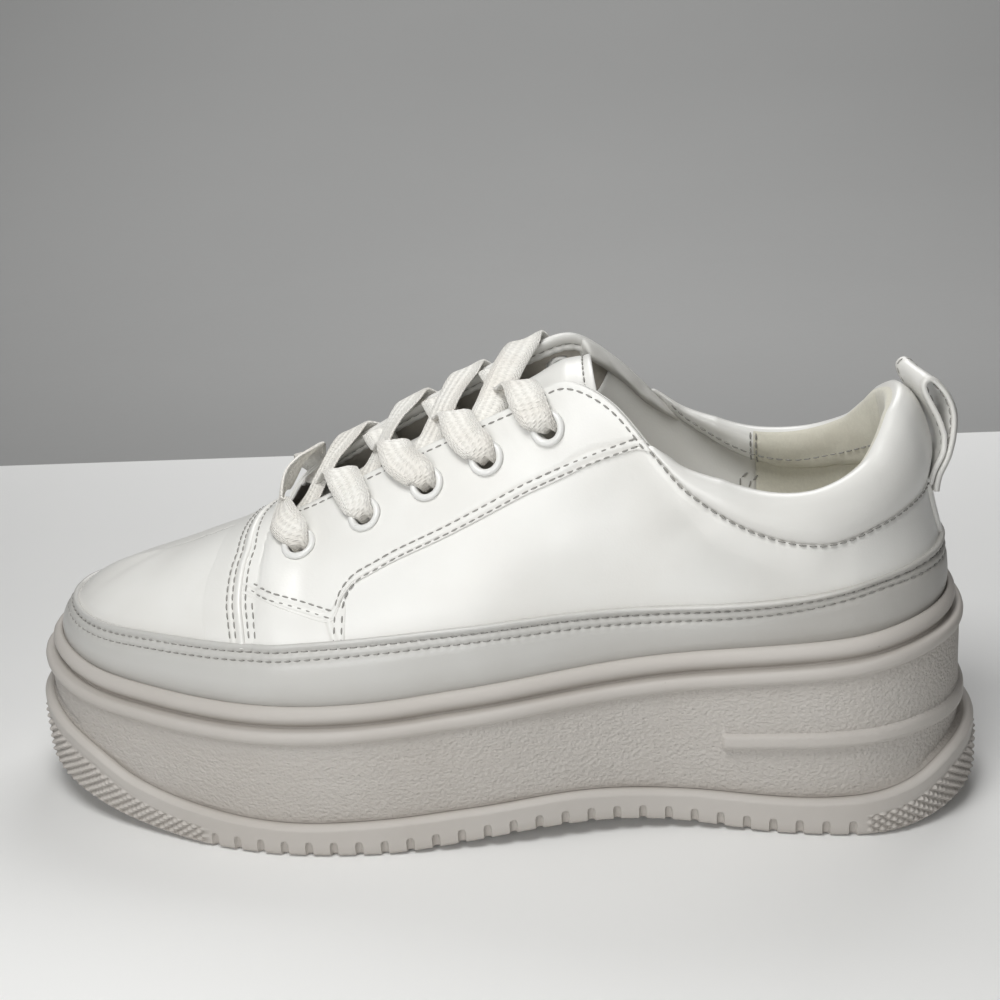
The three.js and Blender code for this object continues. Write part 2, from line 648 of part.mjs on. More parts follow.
function throatMiddle(x, height) {
  const middle = facingPoint(x, OUTER, 0.5).point.lerp(facingPoint(x, INNER, 0.5).point, 0.5);
  middle.z += height;
  return middle;
}

function laceBar() {
  const { x } = EYELET_PAIRS[0];
  return band([
    overEyelet(0, OUTER), overEdge(x + 1, OUTER, 3.4), throatMiddle(x, 6.6), overEdge(x + 1, INNER, 3.4),
    overEyelet(0, INNER),
  ], new THREE.Vector3(1, 0, 0.4));
}
add('lace_bar', laceBar(), ...COTTON);

function laceCross(k) {
  const x = EYELET_PAIRS[k].x;
  const straps = [OUTER, INNER].map((side) => toSolid(band([
    throatMiddle(x + 9, 4.6).add(new THREE.Vector3(0, side * 6, 0)),
    throatMiddle(x + 11, 5.6),
    overEdge(x + 14, -side, 3.8),
    overEyelet(k + 1, -side),
  ], new THREE.Vector3(1, 0, 0.4))));
  return fromSolid(straps[0].add(straps[1]));
}
for (let k = 0; k < EYELET_PAIRS.length - 1; k += 1) add(`lace_cross_${k + 1}`, laceCross(k), ...COTTON);

export default shoe;
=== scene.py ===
import math
from bisect import bisect_right
from functools import lru_cache, partial
from itertools import accumulate

import bmesh
import bpy
from bpy.props import FloatProperty, FloatVectorProperty, PointerProperty
from mathutils import Matrix, Vector, noise


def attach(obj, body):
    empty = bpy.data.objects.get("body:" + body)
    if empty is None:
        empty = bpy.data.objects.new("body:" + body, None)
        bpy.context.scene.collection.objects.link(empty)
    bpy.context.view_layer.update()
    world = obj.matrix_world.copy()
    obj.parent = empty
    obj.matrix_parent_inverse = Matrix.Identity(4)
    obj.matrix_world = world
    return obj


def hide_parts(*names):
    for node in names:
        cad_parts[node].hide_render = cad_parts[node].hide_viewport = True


bl_info = {
    "name": "Platform Sneaker",
    "version": (1, 0, 0),
    "blender": (4, 5, 0),
    "location": "View3D > Sidebar > Sneaker",
    "description": "Dresses the packed sneaker in leather, foam rubber, cloth, laces and stitching",
    "category": "Add Mesh",
}

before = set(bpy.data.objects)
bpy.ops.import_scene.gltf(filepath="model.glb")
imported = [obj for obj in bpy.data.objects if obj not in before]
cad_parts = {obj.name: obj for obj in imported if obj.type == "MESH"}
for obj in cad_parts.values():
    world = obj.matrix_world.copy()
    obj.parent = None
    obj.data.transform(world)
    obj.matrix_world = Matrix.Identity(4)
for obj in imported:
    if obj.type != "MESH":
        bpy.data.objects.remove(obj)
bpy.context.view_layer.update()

# ---- the shoe's own measures, in millimetres, as its solids have them --------------------
MM = 0.001
LENGTH = 285
GAP = 0.3
OUTER = -1
INNER = 1
CENTRING = 0.3
TOE_CAP = (0.27, 2.3)          # length along the sole, roundness
HEEL_CAP = (0.14, 2.2)
TOE_SWING = (0.45, 10, 1.5)    # reach, offset, power
TOE_SPRING = (0.24, 13)        # reach, rise
HEEL_SPRING = (0.12, 5.3)
ARCH = (0.6, 0.2, 4)           # centre, reach, rise
PLATE = 6                      # thickness of the tread plate
RIM = 3.8                      # thickness of the band round it
RIM_TALL = 4.6                 # height of the rounded rim along the band's top
TREAD_EDGE = 1.6               # how far inside the outline the flat of the tread ends
SLOT_COUNT = 26
SLOT_FIRST = 0.235
SLOT_PITCH = 7.18
FIRST_SLOT_X = LENGTH * (SLOT_FIRST - 0.5)
LIP = 3.8                      # height of the lip that overhangs the platform's wall
BEAD = 6.4                     # height of the round bead above the ledge
FEATHER = 9.4                  # how far inside the outline the upper meets the bead
TUCK = 9                       # depth of the upper's foot in the platform's cup
WALL = 2.2                     # the upper with its lining
RIDGE_FROM = 0.74
RIDGE_TOP = 28.4
RIDGE_TALL = 4.2
THROAT = 0.36
CORNER = 0.655                 # where the facing ends and the collar roll begins
LINING_SEAM = 83               # x of the seam between the front and heel linings
TONGUE_PAST = 0.9              # share of the tongue that lies in the throat
TONGUE_SEAM = 0.68             # where the row of stitches lies on the share that is past it


class Table:
    """Rows of numbers under named columns, read smoothly between the rows."""

    def __init__(self, names, rows, flat_start=(), flat_end=()):
        self.keys = [row[0] for row in rows]
        self.columns = {}
        last = len(rows) - 1
        for i, name in enumerate(names.split()):
            values = [row[i] for row in rows]
            slopes = []
            for k in range(len(rows)):
                a, b = max(k - 1, 0), min(k + 1, last)
                slopes.append((values[b] - values[a]) / (self.keys[b] - self.keys[a]))
            if name in flat_start:
                slopes[0] = 0
            if name in flat_end:
                slopes[-1] = 0
            self.columns[name] = (values, slopes)

    def at(self, name, key):
        values, slopes = self.columns[name]
        i = min(max(bisect_right(self.keys, key) - 1, 0), len(values) - 2)
        h = self.keys[i + 1] - self.keys[i]
        t = (key - self.keys[i]) / h
        t2, t3 = t * t, t * t * t
        ends = values[i] * (2 * t3 - 3 * t2 + 1) + values[i + 1] * (3 * t2 - 2 * t3)
        return ends + h * slopes[i] * (t3 - 2 * t2 + t) + h * slopes[i + 1] * (t3 - t2)


OUTLINE = Table("u outer inner", [
    (0, 46.6, 46.6), (0.15, 48, 46.6), (0.32, 54.9, 51.1), (0.5, 49.4, 42.5), (0.68, 39, 36.2),
    (0.85, 43, 43), (1, 40.7, 40.7),
])
HEIGHTS = Table("u band ledge", [
    (0, 33, 45.5), (0.05, 27, 41.9), (0.09, 22.5, 40), (0.14, 15.8, 38.8), (0.2, 11.9, 37.8),
    (0.3, 9.4, 37.2), (0.4, 9.8, 37.8), (0.5, 11.6, 40.1), (0.6, 13.2, 42.5), (0.7, 11.6, 45.1),
    (0.8, 10.4, 48.2), (0.88, 11.6, 51), (0.93, 14.6, 53), (0.97, 20, 54.6), (1, 22.5, 55.8),
])
VAMP_RIDGE = Table("s x y z", [
    (0, -100, 5.4, 72.3), (0.1, -97, 5.1, 73), (0.2, -88, 4.4, 75.6), (0.3, -70, 3.2, 82.2),
    (0.36, -57, 2.4, 88),
], flat_start=("x", "y", "z"))
TOPLINE = Table("s x outer_y outer_z inner_y inner_z", [
    (0.36, -57, 2.4, 88, 2.4, 88), (0.375, -54.5, -5.6, 87.7, 9.4, 92.2),
    (0.39, -49, -9.2, 89.8, 12.2, 96.5), (0.45, -26, -13, 101.3, 13.6, 109.5),
    (0.5, -2, -15.2, 112, 15.8, 120.5), (0.56, 18, -18, 120.9, 19, 129),
    (0.59, 29.5, -21, 126.6, 23, 130.8), (0.62, 41.5, -26, 121.8, 28, 122),
    (0.66, 53, -32.5, 108.9, 33, 108.9), (0.7, 62, -36, 99, 36, 99),
    (0.76, 79, -37.6, 88.2, 37.6, 88.2), (0.82, 97, -36.6, 83.9, 36.6, 83.9),
    (0.88, 113, -28.6, 86.8, 28.6, 86.8), (0.94, 124.6, -15.2, 90.2, 15.2, 90.2),
    (1, 128.6, 0, 91.6, 0, 91.6),
], flat_end=("x", "outer_z", "inner_z"))
SECTION = Table("s foot lean reach drop", [
    (0, 9, -2, 17, 0), (0.1, 11, -1.5, 18, 0), (0.2, 15, 0, 22, 0), (0.3, 20, 0.5, 24, 0),
    (0.36, 22, 0.5, 22, 1), (0.4, 23, 0.5, 14, 10), (0.5, 24, 1, 11, 15), (0.6, 26, 0, 8, 17),
    (0.7, 20, 3, 2, 16), (0.8, 12, 3, 1, 10), (0.9, 11, 2, 1, 11), (1, 12, 0.5, 1.5, 12),
], flat_start=("foot", "lean", "reach", "drop"), flat_end=("foot", "lean", "reach", "drop"))
COLLAR = Table("s rise lean thick", [
    (0.655, 4.4, 0.4, 4.4), (0.7, 6.4, 0.8, 6.8), (0.76, 10, 1, 8.2), (0.82, 13.2, 1.2, 8.4),
    (0.88, 15.4, 1.8, 8.2), (0.91, 19.6, 2.8, 8.2), (0.94, 23.8, 3.8, 8.4), (1, 25.6, 4.4, 8.8),
], flat_end=("rise", "lean", "thick"))
# How far the sewn band round the foot of the upper rises above the bead
GUARD = Table("s rise", [
    (0, 8.3), (0.1, 9.4), (0.2, 12.2), (0.28, 14.4), (0.36, 15.6), (0.45, 16.8), (0.55, 15.4),
    (0.65, 12.6), (0.75, 13), (0.85, 13), (1, 13.4),
])
EYELET_PAIRS = [(-48.5, 14.5), (-28.6, 12.5), (-10.2, 11), (7, 10.5), (24.6, 10.5)]
EYELET_HOLE = 3.2
EYELET_RADIUS = 5
HOLE_CUT = 3.9                  # faces nearer an eyelet than this are cut away
WELD = 0.01
STEP_W = 0.002                 # step round the shoe from which directions are worked out
# Distances of the rows of stitches from the edge of the guard, of a facing or panel, ahead of the
# vamp's fold, and below the throat's edge on the inside
GUARD_ROWS = (2.2, 4.6)
PANEL_ROWS = (0.95, 3.05)
FOLD_ROWS = (4.2, 2.35)
TURNED_ROW = 3.1
SIDES = ((OUTER, "outer"), (INNER, "inner"))


def clamp(v):
    return min(max(v, 0.0), 1.0)


def ease(v):
    v = clamp(v)
    return v * v * (3 - 2 * v)


def hump(v):
    """1 at 0, falling softly away on both sides."""
    return math.exp(-v * v)


def along(s):
    """Share of the length at station s, which is closer spaced at both tips."""
    return (1 - math.cos(math.pi * s)) / 2


def station_at(u):
    return math.acos(1 - 2 * clamp(u)) / math.pi


def round_end(u, cap):
    length, power = cap
    return (1 - clamp(1 - u / length) ** power) ** (1 / power)


def edge_point(s, side):
    u = along(s)
    half = OUTLINE.at("outer" if side == OUTER else "inner", u)
    half *= round_end(u, TOE_CAP) * round_end(1 - u, HEEL_CAP)
    reach, offset, power = TOE_SWING
    swing = offset * clamp(1 - u / reach) ** power
    return Vector((LENGTH * (u - 0.5), swing + CENTRING + side * half, 0))


@lru_cache(maxsize=None)
def outward(s, side):
    step = 1e-3
    if s < step:
        return Vector((-1, 0, 0))
    if s > 1 - step:
        return Vector((1, 0, 0))
    way = (edge_point(s + step, side) - edge_point(s - step, side)).normalized()
    return Vector((-side * way.y, side * way.x, 0))


def sole_edge(s, side, inset, z=0.0):
    """Point inside the sole's outline by a distance, at a height."""
    point = edge_point(s, side) - outward(s, side) * inset
    point.z = z
    return point


def sole_middle(s, inset, z=0.0):
    """Point midway between the two sides, at a height."""
    middle = (sole_edge(s, OUTER, inset) + sole_edge(s, INNER, inset)) / 2
    middle.z = z
    return middle


def ground_gap(u):
    centre, reach, rise = ARCH
    gap = TOE_SPRING[1] * clamp(1 - u / TOE_SPRING[0]) ** 2
    gap += HEEL_SPRING[1] * clamp(1 - (1 - u) / HEEL_SPRING[0]) ** 2
    return gap + rise * clamp(1 - ((u - centre) / reach) ** 2) ** 2


def band_top(u):
    return HEIGHTS.at("band", u)


def ledge(u):
    return HEIGHTS.at("ledge", u)


def side_of(w):
    """Station and side for a place w round the shoe: 0 toe, 1 heel, 2 toe again."""
    w = w % 2
    return (w, OUTER) if w <= 1 else (2 - w, INNER)


def round_place(s, side):
    """Place round the shoe of a station on one side."""
    return s if side == OUTER else 2 - s


def halved(low, high, steps, is_low):
    """The value between low and high where a test that starts true turns false."""
    for _ in range(steps):
        middle = (low + high) / 2
        if is_low(middle):
            low = middle
        else:
            high = middle
    return middle


def run_along(points):
    """Distance along a row of points to each of them."""
    return [0.0, *accumulate((b - a).length for a, b in zip(points, points[1:]))]


def even_round(count, inset, low=0.0, high=2.0):
    """Places round the shoe, evenly spaced along the sole's edge."""
    samples, last = 2400, 1.9999999
    places = [low + (high - low) * i / samples for i in range(samples + 1)]
    run = run_along([sole_edge(*side_of(min(w, last)), inset) for w in places])
    found = []
    for k in range(count + 1):
        goal = run[-1] * k / count
        i = min(max(bisect_right(run, goal) - 1, 0), samples - 1)
        found.append(places[i] + (places[i + 1] - places[i]) * (goal - run[i]) / (run[i + 1] - run[i]))
    return found, run[-1]


# ---- the upper's surface -----------------------------------------------------------------
def rib_top(s, side):
    if s <= THROAT:
        return Vector([VAMP_RIDGE.at(name, s) for name in "xyz"])
    which = "outer" if side == OUTER else "inner"
    return Vector((TOPLINE.at("x", s), TOPLINE.at(which + "_y", s), TOPLINE.at(which + "_z", s)))


def ridge_slope(s):
    if s > THROAT:
        return 0
    step = 0.01
    middle = min(max(s, step), THROAT - step)
    way = rib_top(middle + step, OUTER) - rib_top(middle - step, OUTER)
    return way.z / way.x


@lru_cache(maxsize=None)
def rib(s, side):
    """The four points that steer one rib of the upper, from its foot to its top."""
    foot = sole_edge(s, side, FEATHER, ledge(along(s)) + BEAD)
    n = outward(s, side)
    low = foot + n * SECTION.at("lean", s)
    low.z += SECTION.at("foot", s)
    top = rib_top(s, side)
    reach = SECTION.at("reach", s)
    high = top + n * reach
    high.z += n.x * reach * ridge_slope(s) - SECTION.at("drop", s)
    return foot, low, high, top


def upper_point(w, t):
    """Place on the upper; t is 0 at its foot, 1 at its top, and below 0 in the cup."""
    s, side = side_of(w)
    a, b, c, d = rib(round(s, 7), side)
    if t <= 0:
        return Vector((a.x, a.y, a.z + t * TUCK))
    if t > 1 and s < THROAT:
        return upper_point(2 - w, 2 - t)
    r = 1 - t
    return a * (r * r * r) + b * (3 * r * r * t) + c * (3 * r * t * t) + d * (t * t * t)


def upper_frame(w, t):
    """Place, outward normal, and the directions forward round the shoe and up it."""
    step_w, step_t = STEP_W, 0.01
    point = upper_point(w, t)
    if THROAT < side_of(w)[0] < THROAT + 2 * step_w:
        step_w /= 4
    forward = upper_point(w + step_w, t) - upper_point(w - step_w, t)
    high = min(t, 1)
    up = upper_point(w, high) - upper_point(w, high - step_t)
    if forward.length < 1e-6:
        forward = Vector((0, -1, 0)) if side_of(w)[0] < 0.5 else Vector((0, 1, 0))
    normal = forward.cross(up)
    if normal.length < 1e-9:
        normal = Vector((0, 0, 1))
    return point, normal.normalized(), forward, up / step_t


def soft_noise(point, scale):
    return noise.noise(point * scale)


# Main creases and hollows of the leather: x, z, side, depth, radius along and across, turn
CREASES = [
    (46, 100, OUTER, 0.9, 13, 4.5, 62), (63, 90, OUTER, 0.7, 12, 4, 40), (30, 92, OUTER, 0.5, 16, 6, 20),
    (100, 78, OUTER, 0.5, 9, 4, 80), (86, 76, OUTER, 0.35, 10, 4, 100), (-62, 70, OUTER, 0.3, 10, 4, 80),
    (46, 100, INNER, 0.8, 13, 4.5, 60), (66, 88, INNER, 0.7, 12, 4, 40), (24, 90, INNER, 0.5, 15, 6, 15),
    (104, 78, INNER, 0.5, 9, 4, 84), (-58, 74, INNER, 0.3, 10, 4, 75), (-10, 78, OUTER, 0.35, 22, 8, 12),
]


def leather_relief(point, side):
    """How far the leather stands out of its smooth form: broad waves and a few soft creases."""
    relief = 0.16 * soft_noise(point, 0.035) + 0.05 * soft_noise(point, 0.11)
    for x, z, where, depth, long, short, turn in CREASES:
        if where != side:
            continue
        dx, dz = point.x - x, point.z - z
        if abs(dx) + abs(dz) > 60:
            continue
        c, n = math.cos(math.radians(turn)), math.sin(math.radians(turn))
        a, b = (dx * c + dz * n) / long, (dz * c - dx * n) / short
        relief += 0.4 * depth * hump(a) * (0.45 * hump(b - 1.5) - hump(b) + 0.45 * hump(b + 1.5))
    return relief


def surface_run(w, t):
    """Millimetres per unit of w and of t at a place on the upper."""
    _, _, forward, up = upper_frame(w, t)
    return forward.length / (2 * STEP_W), up.length


def below_edge(w, below):
    """Height t a distance below the upper's top edge."""
    return 1 - below / surface_run(w, 1.0)[1]


def laid_on(w, t, lift):
    """Point a height over the leather at a place on the upper, and its normal."""
    point, normal, _, _ = upper_frame(w, t)
    return point + normal * (lift + leather_relief(point, side_of(w)[1])), normal


@lru_cache(maxsize=None)
def on_side(x, z, side):
    """Station and height on the upper where its x and z are those given."""
    def height(s):
        w = round_place(s, side)
        return halved(-0.5, 1.0, 18, lambda t: upper_point(w, t).z < z)

    s = halved(0.2, 0.999, 26, lambda s: upper_point(round_place(s, side), height(s)).x < x)
    return s, height(s)


def eyelet_place(x, side, below):
    """Place, normal, forward and up on a facing at x, a distance below the throat's edge."""
    def height(w):
        t, run = 1.0, 0.0
        point = upper_point(w, 1)
        while run < below:
            t -= 0.01
            lower = upper_point(w, t)
            run += (lower - point).length
            point = lower
        return t

    def ahead(s):
        w = round_place(s, side)
        return upper_point(w, height(w)).x < x

    w = round_place(halved(THROAT, 0.64, 26, ahead), side)
    point, normal, forward, up = upper_frame(w, height(w))
    return point, normal, forward.normalized() * -side, up.normalized()


EYELETS = {
    (k, side): eyelet_place(EYELET_PAIRS[k][0], side, EYELET_PAIRS[k][1])
    for side in (OUTER, INNER) for k in range(len(EYELET_PAIRS))
}


def pierced(point):
    """Moves a point near an eyelet outward from it, so that a round hole opens there."""
    start, reach = EYELET_HOLE + 0.1, 10.0
    for middle, normal, _, _ in EYELETS.values():
        away = point - middle
        if away.length_squared < reach * reach:
            away -= normal * away.dot(normal) * 0.7
            r = max(away.length, 1e-4)
            if r < reach:
                return point + away * ((start + r * (1 - start / reach)) / r - 1)
    return point


def cut_holes(bm):
    """Deletes the faces that would close an eyelet's hole."""
    middles = [eyelet[0] for eyelet in EYELETS.values()]
    holes = [face for face in bm.faces
             if any((face.calc_center_median() - middle).length < HOLE_CUT for middle in middles)]
    bmesh.ops.delete(bm, geom=holes, context="FACES")


# ---- meshes ------------------------------------------------------------------------------
def net(columns, rows, place, uv=None, marks=()):
    """A grid laid out in columns and rows, each vertex moved to its place.

    place(column, row) gives the point, or the point and a value for each named mark.
    """
    bm = bmesh.new()
    layers = [bm.verts.layers.float.new(name) for name in marks]
    bmesh.ops.create_grid(bm, x_segments=columns, y_segments=rows, size=1.0)
    spots = {}
    for vert in bm.verts:
        spot = (round((vert.co.x + 1) / 2 * columns), round((vert.co.y + 1) / 2 * rows))
        spots[vert.index] = spot
        made = place(*spot)
        if layers:
            made, *values = made
            for layer, value in zip(layers, values):
                vert[layer] = value
        vert.co = made
    if uv:
        layer = bm.loops.layers.uv.new("Weave")
        for face in bm.faces:
            for loop in face.loops:
                loop[layer].uv = uv(*spots[loop.vert.index])
    return bm


def closed(bm, distance=0.004):
    """Welds what meets, and turns every face outward."""
    bmesh.ops.remove_doubles(bm, verts=bm.verts, dist=distance)
    bmesh.ops.dissolve_degenerate(bm, edges=bm.edges, dist=distance / 2)
    bmesh.ops.recalc_face_normals(bm, faces=bm.faces)
    return bm


def joined(parts):
    """One bmesh from several."""
    whole = bmesh.new()
    for part in parts:
        mesh = bpy.data.meshes.new("part")
        part.to_mesh(mesh)
        part.free()
        whole.from_mesh(mesh)
        bpy.data.meshes.remove(mesh)
    return whole


def make_piece(name, bm, finishes, replaces=(), wall=None, offset=-1.0, sharp=50, second=0):
    """Turns a bmesh in millimetres into a piece of the shoe, in metres."""
    bmesh.ops.scale(bm, vec=(MM, MM, MM), verts=bm.verts)
    mesh = bpy.data.meshes.new(name)
    bm.to_mesh(mesh)
    bm.free()
    mesh.polygons.foreach_set("use_smooth", [True] * len(mesh.polygons))
    mesh.set_sharp_from_angle(angle=math.radians(sharp))
    for finish in finishes.split():
        mesh.materials.append(finish_named(finish))
    piece = bpy.data.objects.new(name, mesh)
    bpy.context.scene.collection.objects.link(piece)
    if wall:
        skin = piece.modifiers.new("Wall", "SOLIDIFY")
        skin.thickness = wall * MM
        skin.offset = offset
        skin.material_offset = second
        skin.use_rim = True
    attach(piece, "root")
    if replaces:
        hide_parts(*replaces)
    return piece


def smooth_path(points, steps):
    """Even steps along a soft curve through the points (Catmull-Rom)."""
    ends = [points[0] * 2 - points[1], *points, points[-1] * 2 - points[-2]]
    fine = []
    for a, b, c, d in zip(ends, ends[1:], ends[2:], ends[3:]):
        for k in range(24):
            t = k / 24
            fine.append(0.5 * ((b * 2) + (c - a) * t + (a * 2 - b * 5 + c * 4 - d) * t * t
                               + (b * 3 - a - c * 3 + d) * t ** 3))
    fine.append(points[-1])
    return resampled(fine, steps)


def resampled(points, steps):
    """Even steps along the straight runs between points."""
    run = run_along(points)
    found = []
    for k in range(steps + 1):
        goal = run[-1] * k / steps
        i = min(max(bisect_right(run, goal) - 1, 0), len(points) - 2)
        share = (goal - run[i]) / max(run[i + 1] - run[i], 1e-9)
        found.append(points[i].lerp(points[i + 1], share))
    return found


# ---- shader maths ------------------------------------------------------------------------
class Wire:
    """A socket's value in Python arithmetic; each operation adds a Math node."""

    def __init__(self, finish, socket):
        self.finish = finish
        self.socket = socket

    def __add__(self, other):
        return self.finish.maths("ADD", self, other)

    def __radd__(self, other):
        return self.finish.maths("ADD", other, self)

    def __sub__(self, other):
        return self.finish.maths("SUBTRACT", self, other)

    def __rsub__(self, other):
        return self.finish.maths("SUBTRACT", other, self)

    def __mul__(self, other):
        return self.finish.maths("MULTIPLY", self, other)

    def __rmul__(self, other):
        return self.finish.maths("MULTIPLY", other, self)

    def between(self, low, high):
        """0 at low, 1 at high, soft between."""
        return self.finish.node(
            "MapRange", "Result", {"interpolation_type": "SMOOTHSTEP"},
            {"Value": self, "From Min": low, "From Max": high})


class Finish:
    """A material in the making, with one method that adds any node."""

    def __init__(self, name, **constants):
        self.material = bpy.data.materials.new(name)
        self.material.use_nodes = True
        self.tree = self.material.node_tree
        self.shader = self.tree.nodes["Principled BSDF"]
        for key, value in constants.items():
            key = key.replace("_", " ").title().replace("Ior", "IOR")
            self.shader.inputs[key].default_value = value

    def node(self, kind, output, settings=None, inputs=None):
        made = self.tree.nodes.new("ShaderNode" + kind)
        for key, value in (settings or {}).items():
            setattr(made, key, value)
        for key, value in (inputs or {}).items():
            self.feed(made.inputs[key], value)
        return Wire(self, made.outputs[output])

    def feed(self, socket, value):
        if isinstance(value, Wire):
            self.tree.links.new(value.socket, socket)
        else:
            socket.default_value = value

    def maths(self, operation, *values):
        return self.node("Math", "Value", {"operation": operation}, dict(enumerate(values)))

    def coordinates(self, kind="Object", scale=(1, 1, 1), turn=(0, 0, 0)):
        place = self.node("TexCoord", kind)
        return self.node("Mapping", "Vector", {}, {"Vector": place, "Scale": scale, "Rotation": turn})

    def mark(self, name):
        return self.node("Attribute", "Fac", {"attribute_name": name})

    def noise(self, place, scale, detail=2.0, roughness=0.5, distortion=0.0):
        return self.node("TexNoise", "Fac", {}, {
            "Vector": place, "Scale": scale, "Detail": detail, "Roughness": roughness,
            "Distortion": distortion})

    def cells(self, place, scale, feature="F1"):
        return self.node("TexVoronoi", "Distance", {"feature": feature}, {"Vector": place, "Scale": scale})

    def blend(self, share, a, b):
        made = self.tree.nodes.new("ShaderNodeMix")
        made.data_type = "RGBA"
        self.feed(made.inputs[0], share)
        self.feed(made.inputs[6], a)
        self.feed(made.inputs[7], b)
        return Wire(self, made.outputs[2])

    def finished(self, colour=None, roughness=None, height=None, depth=0.1, coat=None):
        """Joins colour, roughness and relief (depth in millimetres) to the shader."""
        if colour is not None:
            self.feed(self.shader.inputs["Base Color"], colour)
        if roughness is not None:
            self.feed(self.shader.inputs["Roughness"], roughness)
        if coat is not None:
            self.feed(self.shader.inputs["Coat Weight"], coat)
        if height is not None:
            bump = self.node("Bump", "Normal", {}, {
                "Height": height, "Distance": depth * MM, "Strength": 1.0})
            self.feed(self.shader.inputs["Normal"], bump)
        return self.material


def tint(colour, factor, warmth=0.0):
    r, g, b = colour[:3]
    return (clamp(r * factor * (1 + warmth)), clamp(g * factor), clamp(b * factor * (1 - warmth)), 1)


def leather(name, colour, gloss=0.31):
    """Smooth coated leather: faint grain, broad waviness, painted shade in the seams, a few scuffs."""
    finish = Finish(name, specular_ior_level=0.55, coat_roughness=0.28)
    place = finish.coordinates()
    broad = finish.noise(place, 26, 3.0, 0.55)
    patches = finish.noise(place, 90, 4.0, 0.6)
    grain = finish.cells(place, 1500)
    fine = finish.noise(place, 2600, 2.0)
    dust = finish.mark("dust")
    scuff = finish.noise(finish.coordinates(scale=(60, 60, 420), turn=(0.2, 0.5, 0.1)), 1.0, 3.0, 0.6)
    scuffs = scuff.between(0.68, 0.76) * broad.between(0.5, 0.62)
    specks = (1 - finish.cells(place, 95).between(0.02, 0.045)) * patches.between(0.55, 0.6)
    base = finish.blend(broad.between(0.35, 0.65), tint(colour, 0.97, 0.004), tint(colour, 1.015, -0.003))
    # Painted shade: the mark darkens the leather towards this warm grey in its seams, channels and creases.
    base = finish.blend(dust * (0.35 + 0.5 * patches), base, tint(colour, 0.62, 0.05))
    base = finish.blend(scuffs * 0.16, base, tint(colour, 0.78, 0.02))
    base = finish.blend(specks * 0.35, base, tint(colour, 0.4, 0.06))
    rough = gloss + 0.07 * broad + 0.06 * patches + 0.25 * scuffs + 0.22 * dust
    height = 0.55 * grain + 0.35 * fine + 0.8 * patches
    return finish.finished(base, rough, height, 0.03, coat=0.36 - 0.3 * dust)


def foam_rubber(name, colour):
    """Moulded foam rubber: pebbled where the mark says, smooth on its bead and lip."""
    finish = Finish(name, specular_ior_level=0.42)
    place = finish.coordinates()
    wavy = finish.coordinates(scale=(1, 1, 1.25))
    grain = finish.mark("grain")
    dust = finish.mark("dust")
    pebble = finish.cells(wavy, 950, "SMOOTH_F1")
    crackle = finish.noise(wavy, 1500, 2.0, 0.5, 0.5)
    fine = finish.noise(place, 3200, 2.0)
    broad = finish.noise(place, 20, 3.0)
    smear = finish.noise(place, 60, 4.0, 0.65)
    specks = (1 - finish.cells(place, 130).between(0.02, 0.05)) * smear.between(0.52, 0.6)
    base = finish.blend(broad.between(0.3, 0.7), tint(colour, 0.96, 0.006), tint(colour, 1.02, -0.004))
    base = finish.blend(grain * (1 - crackle.between(0.3, 0.5)) * 0.14, base, tint(colour, 0.86, 0.01))
    # Painted shade: the mark darkens the foam in the crease above the band, under the lip, in the channel
    # behind the bead and in the notches and knurl grooves.
    base = finish.blend(dust * (0.3 + 0.7 * smear), base, tint(colour, 0.58, 0.06))
    base = finish.blend(specks * 0.4, base, tint(colour, 0.42, 0.08))
    rough = 0.5 + 0.1 * smear + 0.14 * grain + 0.12 * dust
    height = grain * (1.0 * pebble + 0.8 * crackle) + 0.04 * fine + 0.12 * smear
    return finish.finished(base, rough, height, 0.36)


def brushed_cloth(name, colour, nap=0.12):
    """Brushed microfibre: short fuzz, faint streaks, a little worn."""
    finish = Finish(name, specular_ior_level=0.25, sheen_weight=0.35, sheen_roughness=0.5)
    place = finish.coordinates()
    streaks = finish.noise(finish.coordinates(scale=(1, 1, 0.7)), 1300, 4.0, 0.7)
    clumps = finish.noise(place, 240, 4.0, 0.6)
    broad = finish.noise(place, 35, 3.0)
    fuzz = finish.noise(place, 4200, 2.0, 0.7)
    base = finish.blend(streaks.between(0.3, 0.7), tint(colour, 0.95), tint(colour, 1.04))
    base = finish.blend(broad.between(0.45, 0.75) * 0.4, base, tint(colour, 0.82, 0.03))
    base = finish.blend(clumps.between(0.5, 0.72) * 0.25, base, tint(colour, 1.16, -0.01))
    height = 0.5 * streaks + 0.4 * clumps + 0.5 * fuzz
    return finish.finished(base, 0.86 + 0.1 * clumps, height, nap)


